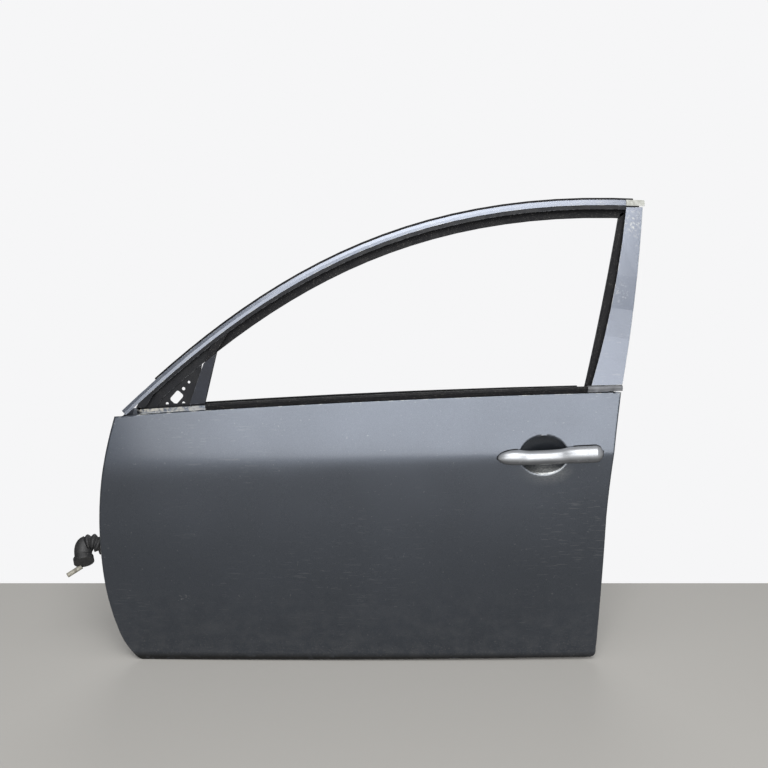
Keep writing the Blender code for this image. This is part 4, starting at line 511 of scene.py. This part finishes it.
# the look of each node, the radius of its softened edges in metres, its body where it moves
welded = {
    "inner_panel": {"look": "thinPaint"},
    "header_frame": {"look": "blackSteel"},
    "header_moulding": {"look": "paint"},
    "header_end_cap": {"look": "cream", "soften": 0.0005},
    "frame_weatherstrip": {"look": "rubber", "soften": 0.0008},
    "b_pillar_cover": {"look": "paint", "soften": 0.0004},
    "division_bar": {"look": "barSteel"},
    "glass_run_channel": {"look": "rubber"},
    "outer_waist_seal": {"look": "rubber", "soften": 0.0004},
    "waist_seal_end_cap": {"look": "grained", "soften": 0.0004},
    "inner_waist_seal": {"look": "rubber", "soften": 0.0004},
    "outer_waist_reinforcement": {"look": "zinc"},
    "mirror_bracket": {"look": "blackSteel"},
    "hinge_reinforcement_lower": {"look": "zinc", "soften": 0.0004},
    "hinge_reinforcement_upper": {"look": "zinc", "soften": 0.0004},
    "impact_beam": {"look": "zinc"},
    "beam_bracket_front": {"look": "zinc", "soften": 0.0004},
    "beam_bracket_rear": {"look": "zinc", "soften": 0.0004},
    "rear_guide_rail": {"look": "zinc"},
    "handle_end_cap": {"look": "silver"},
    "handle_gasket_front": {"look": "rubber"},
    "handle_gasket_rear": {"look": "rubber"},
    "handle_carrier": {"look": "plastic"},
    "latch_case": {"look": "plastic"},
    "latch_plate": {"look": "zinc", "soften": 0.0003},
    "latch_screw_1": {"look": "zinc", "soften": 0.0004},
    "latch_screw_2": {"look": "zinc", "soften": 0.0004},
    "latch_screw_3": {"look": "zinc", "soften": 0.0004},
    "handle_grip": {"look": "silver", "body": "grip"},
    "bell_crank": {"look": "plastic", "body": "crank", "soften": 0.0004},
    "release_rod": {"look": "zinc", "body": "rod", "angle": 40.0},
    "latch_lever": {"look": "zinc", "body": "release_lever", "soften": 0.0004},
    "latch_claw": {"look": "zinc", "body": "claw", "soften": 0.0004},
    "harness_plug": {"look": "plug", "soften": 0.0006},
}
# the mirror bracket: its outline grows into the gap round it and its holes open as wide as in the photo; each
# hole has its middle, the reach that takes in its points and how far they move outwards
bracket = {
    "node": "mirror_bracket",
    "grow": 0.0010,
    "leastSlope": 0.0001,
    "holes": (((0.1423, 0.4701), 0.019, 0.0012), ((0.1698, 0.5035), 0.005, 0.0009),
              ((0.1577, 0.4891), 0.006, 0.0009), ((0.1575, 0.4578), 0.006, 0.0009),
              ((0.1211, 0.4563), 0.006, 0.0009)),
}


def openBracket(shape):
    shape.normal_update()
    moves = {}
    for vert in shape.verts:
        outward, amount = Vector((vert.normal.x, 0.0, vert.normal.z)), bracket["grow"]
        for (x, z), reach, opened in bracket["holes"]:
            away = Vector((vert.co.x - x, 0.0, vert.co.z - z))
            if away.length < reach:
                outward, amount = away, opened
        if outward.length > bracket["leastSlope"]:
            moves[vert] = outward.normalized() * amount
    for vert, move in moves.items():
        vert.co += move


for node, plan in welded.items():
    shape = weldedCopy(node)
    if node == bracket["node"]:
        openBracket(shape)
    body, angle = plan.get("body", "shell"), plan.get("angle", 30.0)
    piece = finishPiece(node + "_finish", shape, plan["look"], node, body, angle)
    if "soften" in plan:
        softenEdges(piece, plan["soften"])
print("welded pieces:", len(welded))


# the outer skin, pressed again as one fine surface so that it mirrors evenly; metres, shares and powers
skinForm = {
    "frontReach": 0.041, "frontReachHeight": 0.120, "frontTopSweep": 0.049, "frontTopPower": 2.1,
    "frontBottomSweep": 0.050, "frontBottomPower": 2.3,
    "frontCornerHeight": 0.080, "frontCornerLength": 0.021,
    "rearEdge": 1.097, "rearSweep": 0.022, "rearSweepPower": 1.5, "rearSweepHeight": 0.200,
    "rearCorner": 0.012,
    "bottomEdge": -0.165, "bottomRise": 0.008, "beltFront": 0.432, "beltRear": 0.486, "beltArch": 0.008,
    "bulge": 0.055, "tuck": 0.025, "bulgeShare": 0.62,
    "creaseShare": 0.796, "creaseSoftFront": 0.030, "creaseSoftRear": 0.005,
    "beltDepth": -0.030, "beltDatum": 0.485, "sideLean": 0.17, "sideRadius": 1.5,
    "planBow": 0.010, "planBowMiddle": 0.620, "planBowReach": 0.660,
    "dishX": 0.951, "dishZ": 0.350, "dishHalfLength": 0.054, "dishHalfHeight": 0.044, "dishDepth": 0.022,
    "sheet": 0.0008, "fold": 0.0031, "foldAngle": 50.0,
    "hemReturn": 0.010, "hemRadius": 0.0009, "hemSegments": 2,
    "ledgeDepth": 0.004, "ledgeRise": 0.001, "ledgeFlange": 0.010, "ledgeShare": (0.04, 0.985),
    "slopeStep": 0.003, "shadeAngle": 40.0,
}
# the skin's mesh: each stop is a share of its length or height and how many strips follow it; they are
# closest at the edges, the crease and the handle's dish
skinColumns = ((0.0, 1), (0.004, 1), (0.010, 1), (0.018, 84), (0.795, 62), (0.930, 8), (0.990, 1),
               (0.996, 1), (1.0, 0))
skinRows = ((0.0, 1), (0.004, 16), (0.14, 34), (0.70, 48), (0.93, 6), (0.992, 1), (1.0, 0))
# openings under the handle's front end, its rear end and its rear cap: lowest and highest corners
skinHoles = (((0.869, -0.08, 0.338), (0.885, -0.03, 0.356)),
             ((1.033, -0.08, 0.3428), (1.058, -0.03, 0.3648)),
             ((1.065, -0.08, 0.3484), (1.074, -0.03, 0.3604)))


def bottomZ(x):
    return skinForm["bottomEdge"] + skinForm["bottomRise"] * x / skinForm["rearEdge"]


def beltZ(x):
    f = skinForm
    t = x / (f["rearEdge"] + f["rearSweep"])
    return f["beltFront"] + (f["beltRear"] - f["beltFront"]) * t + 4 * f["beltArch"] * t * (1 - t)


def cornerRound(distance, height, length):
    # how far a rounded corner draws an edge in, at a distance into the corner's height
    corner = min(max(distance, 0) / height, 1)
    return length * (1 - math.sqrt(1 - corner * corner))


def frontX(z):
    f = skinForm
    above = max(z - f["frontReachHeight"], 0) / (f["beltFront"] - f["frontReachHeight"])
    below = max(f["frontReachHeight"] - z, 0) / (f["frontReachHeight"] - f["bottomEdge"])
    x = -f["frontReach"] + f["frontTopSweep"] * above ** f["frontTopPower"]
    x += f["frontBottomSweep"] * below ** f["frontBottomPower"]
    height = f["frontCornerHeight"]
    return x + cornerRound(f["bottomEdge"] + height - z, height, f["frontCornerLength"])


def rearX(z):
    f = skinForm
    lift = max(z - f["rearSweepHeight"], 0) / (f["beltRear"] - f["rearSweepHeight"])
    x = f["rearEdge"] + f["rearSweep"] * lift ** f["rearSweepPower"]
    radius = f["rearCorner"]
    return x - cornerRound(f["bottomEdge"] + f["bottomRise"] + radius - z, radius, radius)


def bow(x):
    return skinForm["planBow"] * ((x - skinForm["planBowMiddle"]) / skinForm["planBowReach"]) ** 2


def sideY(x, z):
    rise = z - skinForm["beltDatum"]
    curve = rise * rise / (2 * skinForm["sideRadius"])
    return skinForm["beltDepth"] + skinForm["sideLean"] * rise + curve + bow(x)


def softRamp(distance, softness, straightFrom=30):
    # 0 below and the distance itself above, with a soft bend between them
    power = distance / softness
    return distance if power > straightFrom else softness * math.log(1 + math.exp(power))


def skinY(x, z):
    f = skinForm
    share = (z - bottomZ(x)) / (beltZ(x) - bottomZ(x))
    along = min(max(x / f["rearEdge"], 0), 1)
    low = -f["bulge"] + f["tuck"] * max(1 - share / f["bulgeShare"], 0) ** 2
    softness = f["creaseSoftFront"] + (f["creaseSoftRear"] - f["creaseSoftFront"]) * along
    ramp = softRamp(share - f["creaseShare"], softness) / softRamp(1 - f["creaseShare"], softness)
    rise = sideY(x, beltZ(x)) - bow(x) + f["bulge"]
    across = (x - f["dishX"]) / f["dishHalfLength"]
    up = (z - f["dishZ"]) / f["dishHalfHeight"]
    return low + rise * ramp + bow(x) + f["dishDepth"] * max(1 - across * across - up * up, 0)


def skinXz(u, v):
    # the place on the outline's plane of a share u of the skin's length and v of its height
    f = skinForm
    rearBottom = bottomZ(f["rearEdge"])
    x = frontX(f["bottomEdge"] + v * (f["beltFront"] - f["bottomEdge"])) * (1 - u)
    x += rearX(rearBottom + v * (f["beltRear"] - rearBottom)) * u
    return x, bottomZ(x) + v * (beltZ(x) - bottomZ(x))


def skinPoint(u, v):
    x, z = skinXz(u, v)
    return Vector((x, skinY(x, z), z))


def edgeInset(u, v, amount):
    # a point of the outline moved inwards, square to the edges that it lies on
    x, z = skinXz(u, v)
    step = skinForm["slopeStep"]
    inward = Vector((0, 1 if v == 0.0 else 0))
    if u in (0.0, 1.0):
        along = (Vector(skinXz(u, min(v + step, 1))) - Vector(skinXz(u, max(v - step, 0)))).normalized()
        inward += Vector((along.y, -along.x)) * (1 if u == 0.0 else -1)
    inward.normalize()
    return x + inward.x * amount, z + inward.y * amount


def sharesFrom(stops):
    # all the shares that the stops ask for, up to and with the last stop
    shares = []
    for (start, count), following in zip(stops, stops[1:]):
        shares += [start + (following[0] - start) * i / count for i in range(count)]
    return shares + [stops[-1][0]]


def extrudeRim(shape, share, keep, places):
    # carries the open rim whose points pass keep(u, v) through the given places in turn
    rim = [e for e in shape.edges if e.is_boundary and all(keep(*share[v]) for v in e.verts)]
    for place in places:
        made = bmesh.ops.extrude_edge_only(shape, edges=rim)["geom"]
        fresh = [g for g in made if isinstance(g, bmesh.types.BMVert)]
        before = {tuple(v.co): share[v] for e in rim for v in e.verts}
        for vert in fresh:
            share[vert] = before[tuple(vert.co)]
        for vert in fresh:
            vert.co = place(*share[vert])
        edges = [g for g in made if isinstance(g, bmesh.types.BMEdge)]
        rim = [e for e in edges if e.verts[0] in fresh and e.verts[1] in fresh]


def pressSkin():
    f = skinForm
    columns, rows = sharesFrom(skinColumns), sharesFrom(skinRows)
    shape = bmesh.new()
    bmesh.ops.create_grid(shape, x_segments=len(columns) - 1, y_segments=len(rows) - 1, size=1.0)
    share = {}
    for vert in shape.verts:
        u = columns[round((vert.co.x + 1) / 2 * (len(columns) - 1))]
        v = rows[round((vert.co.y + 1) / 2 * (len(rows) - 1))]
        share[vert] = (u, v)
        vert.co = skinPoint(u, v)

    def hemBack(u, v):
        return skinPoint(u, v) + Vector((0, f["fold"] - f["sheet"], 0))

    def hemReturn(u, v):
        x, z = edgeInset(u, v, f["hemReturn"])
        return Vector((x, skinY(x, z) + f["fold"] - f["sheet"], z))

    def ledge(u, v):
        return skinPoint(u, v) + Vector((0, f["ledgeDepth"], f["ledgeRise"]))

    def flange(u, v):
        return ledge(u, v) + Vector((0, 0, f["ledgeFlange"]))

    ledgeStart, ledgeEnd = f["ledgeShare"]
    extrudeRim(shape, share, lambda u, v: u in (0.0, 1.0) or v == 0.0, (hemBack, hemReturn))
    extrudeRim(shape, share, lambda u, v: v == 1.0 and ledgeStart <= u <= ledgeEnd, (ledge, flange))
    bmesh.ops.recalc_face_normals(shape, faces=shape.faces)
    widest = max(shape.faces, key=lambda face: face.calc_area())
    if widest.normal.y > 0:
        bmesh.ops.reverse_faces(shape, faces=shape.faces)
    turned = math.radians(f["foldAngle"])
    folds = [e for e in shape.edges if len(e.link_faces) == 2 and e.calc_face_angle(0) > turned]
    bmesh.ops.bevel(shape, geom=folds, offset=f["hemRadius"], segments=f["hemSegments"], profile=0.5,
                    affect="EDGES", material=-1, clamp_overlap=True)
    return shape


def boxCutter(low, high):
    shape = bmesh.new()
    bmesh.ops.create_cube(shape, size=1.0)
    bmesh.ops.scale(shape, vec=Vector(high) - Vector(low), verts=shape.verts)
    bmesh.ops.translate(shape, vec=(Vector(low) + Vector(high)) / 2, verts=shape.verts)
    return placeMesh("cutter", shape)


def applyModifiers(piece):
    bpy.context.view_layer.update()
    ready = piece.evaluated_get(bpy.context.evaluated_depsgraph_get())
    mesh = bpy.data.meshes.new_from_object(ready)
    piece.modifiers.clear()
    piece.data = mesh


def buildSkin():
    piece = finishPiece("outer_skin_pressing", pressSkin(), "skinPaint", "outer_skin", "shell",
                        skinForm["shadeAngle"])
    thick = piece.modifiers.new("sheet", "SOLIDIFY")
    thick.thickness = skinForm["sheet"]
    thick.offset = -1.0
    cutters = [boxCutter(low, high) for low, high in skinHoles]
    for cutter in cutters:
        cut = piece.modifiers.new("opening", "BOOLEAN")
        cut.operation = "DIFFERENCE"
        cut.solver = "EXACT"
        cut.object = cutter
    applyModifiers(piece)
    for cutter in cutters:
        bpy.data.objects.remove(cutter, do_unlink=True)
    return piece


skin = buildSkin()
print("outer skin:", len(skin.data.polygons), "faces")


# the rubber boot with real bellows folds: a listed route, then radii in metres and shares of the route
boot = {
    "route": ((-0.0006, -0.012, 0.106), (-0.012, -0.012, 0.107), (-0.038, -0.013, 0.116),
              (-0.064, -0.014, 0.128), (-0.084, -0.018, 0.124), (-0.087, -0.027, 0.105),
              (-0.081, -0.042, 0.092)),
    "ringsPerKnot": 26, "around": 40,
    "cuff": 0.0200, "valley": 0.0142, "crest": 0.0198, "flare": 0.0225,
    "rootFade": 2.2,        # how soon the flange at the door narrows to the cuff
    "folds": 7, "foldShare": (0.10, 0.62),
    "foldFullness": 0.7,    # under 1 the crests are rounder than the valleys
    "neck": 0.93,           # share of the cuff's radius just behind the folds
    "flareShare": 0.88, "flareStep": 0.02,
    "shadeAngle": 50.0,
}


def smoothRoute(knots, count):
    # a Catmull-Rom curve through the knots, its ends carried on straight
    points = [Vector(k) for k in knots]
    full = [2 * points[0] - points[1]] + points + [2 * points[-1] - points[-2]]
    route = []
    for i in range(1, len(full) - 2):
        a, b, c, d = full[i - 1:i + 3]
        for k in range(count):
            t = k / count
            route.append(0.5 * (2 * b + (c - a) * t + (2 * a - 5 * b + 4 * c - d) * t * t
                                + (3 * b - a - 3 * c + d) * t ** 3))
    return route + [points[-1]]


def bootRadius(share):
    start, end = boot["foldShare"]
    if share < start:
        return boot["cuff"] + (boot["flare"] - boot["cuff"]) * max(1 - share / start * boot["rootFade"], 0)
    if share < end:
        wave = 0.5 - 0.5 * math.cos(2 * math.pi * boot["folds"] * (share - start) / (end - start))
        return boot["valley"] + (boot["crest"] - boot["valley"]) * wave ** boot["foldFullness"]
    if share < boot["flareShare"]:
        swell = math.sin(math.pi * (share - end) / (boot["flareShare"] - end))
        return boot["cuff"] * (boot["neck"] + (1 - boot["neck"]) * swell)
    return boot["flare"] if share > boot["flareShare"] + boot["flareStep"] else boot["cuff"]


def buildBoot():
    # a ring of points carried along the route, its radius following the folds
    route = smoothRoute(boot["route"], boot["ringsPerKnot"])
    shape = bmesh.new()
    ring = bmesh.ops.create_circle(shape, cap_ends=True, segments=boot["around"], radius=1.0)["verts"]
    unit = [v.co.copy() for v in ring]
    face = shape.faces[:][0]
    side = Vector((0, 1, 0))
    last = len(route) - 1
    for i, point in enumerate(route):
        along = (route[min(i + 1, last)] - route[max(i - 1, 0)]).normalized()
        up = along.cross(side).normalized()
        across = up.cross(along)
        if i:
            made = bmesh.ops.extrude_face_region(shape, geom=[face])["geom"]
            fresh = {tuple(v.co): v for v in made if isinstance(v, bmesh.types.BMVert)}
            ring = [fresh[tuple(v.co)] for v in ring]
            if i > 1:
                bmesh.ops.delete(shape, geom=[face], context="FACES_ONLY")
            face = next(g for g in made if isinstance(g, bmesh.types.BMFace))
        radius = bootRadius(i / last)
        for vert, spot in zip(ring, unit):
            vert.co = point + (across * spot.x + up * spot.y) * radius
    finishPiece("harness_boot_bellows", shape, "bootRubber", "harness_boot", "shell", boot["shadeAngle"])


buildBoot()
print("boot made")

# camera at the photo's angle: millimetres for the lens, degrees below the horizon for the tilt
photoCamera = {"lens": 43.59, "sensor": 36.0, "place": (0.600, -1.99136, 1.000), "tilt": 14.123}
camera = bpy.data.objects.new("camera", bpy.data.cameras.new("camera"))
scene.collection.objects.link(camera)
camera.data.lens = photoCamera["lens"]
camera.data.sensor_width = photoCamera["sensor"]
camera.location = photoCamera["place"]
camera.rotation_euler = (math.radians(90 - photoCamera["tilt"]), 0.0, 0.0)
scene.camera = camera

# plain pale floor and soft light; each panel has its place, its target, its width and height and its watts
studio = {
    "floorPlace": (0.6, 0.376, -0.1655),    # the middle of the floor's rear edge
    "floorSize": 6.0, "floorColours": ("#94928e", "#8b8985"), "floorRoughness": 0.75,
    "floorGrain": dict(size=1.1, low=0.3, high=0.7, detail=2.0),
    "wall": "#f6f6f7", "wallStrength": 1.0, "fill": "#eef0f4", "fillStrength": 0.38,
    "room": "#e6e9f0", "roomStrength": 0.17,
    "panels": {
        "frontPanel": ((0.95, -4.2, 1.18), (0.95, 0.0, 1.18), (4.6, 2.44), 192.0),
        "upperPanel": ((0.8, -3.6, 4.0), (0.5, 0.0, 0.6), (3.6, 2.8), 260.0),
        "topPanel": ((0.7, -1.4, 3.4), (0.7, -0.3, 0.2), (3.6, 2.0), 55.0),
        "backPanel": ((0.6, 3.6, 2.2), (0.6, 0.0, 0.4), (3.4, 2.2), 60.0),
    },
}


def buildFloor():
    shape = bmesh.new()
    bmesh.ops.create_grid(shape, x_segments=1, y_segments=1, size=studio["floorSize"])
    floor = placeMesh("floor", shape)
    made, tree, place, shader = startMaterial("studioFloor", {"Roughness": studio["floorRoughness"]})
    colour = coverWith(tree, *studio["floorColours"], noiseMask(tree, place, studio["floorGrain"]))
    tree.links.new(colour, shader.inputs["Base Color"])
    floor.data.materials.append(made)
    x, rearEdge, z = studio["floorPlace"]
    floor.location = (x, rearEdge - studio["floorSize"], z)


def buildWorld():
    # the camera sees the pale wall, shiny surfaces mirror a dimmer room, and the fill lights everything else
    world = bpy.data.worlds.new("studio")
    scene.world = world
    world.use_nodes = True
    tree = world.node_tree
    tree.nodes.clear()
    path = addNode(tree, "LightPath").outputs
    light = {}
    for key in ("wall", "fill", "room"):
        settings = {"Color": studio[key], "Strength": studio[key + "Strength"]}
        light[key] = addNode(tree, "Background", settings).outputs[0]
    lit = addNode(tree, "MixShader", {0: path["Is Glossy Ray"], 1: light["fill"], 2: light["room"]})
    mix = addNode(tree, "MixShader", {0: path["Is Camera Ray"], 1: lit.outputs[0], 2: light["wall"]})
    addNode(tree, "OutputWorld", {"Surface": mix.outputs[0]})


def addPanel(name, place, target, size, power):
    data = bpy.data.lights.new(name, "AREA")
    data.shape = "RECTANGLE"
    data.size, data.size_y = size
    data.energy = power
    lamp = bpy.data.objects.new(name, data)
    lamp.location = place
    lamp.visible_camera = False
    lamp.rotation_euler = (Vector(target) - Vector(place)).to_track_quat("-Z", "Y").to_euler()
    scene.collection.objects.link(lamp)


buildFloor()
buildWorld()
for name, panel in studio["panels"].items():
    addPanel(name, *panel)
scene.view_settings.view_transform = "Standard"
print("stage set")
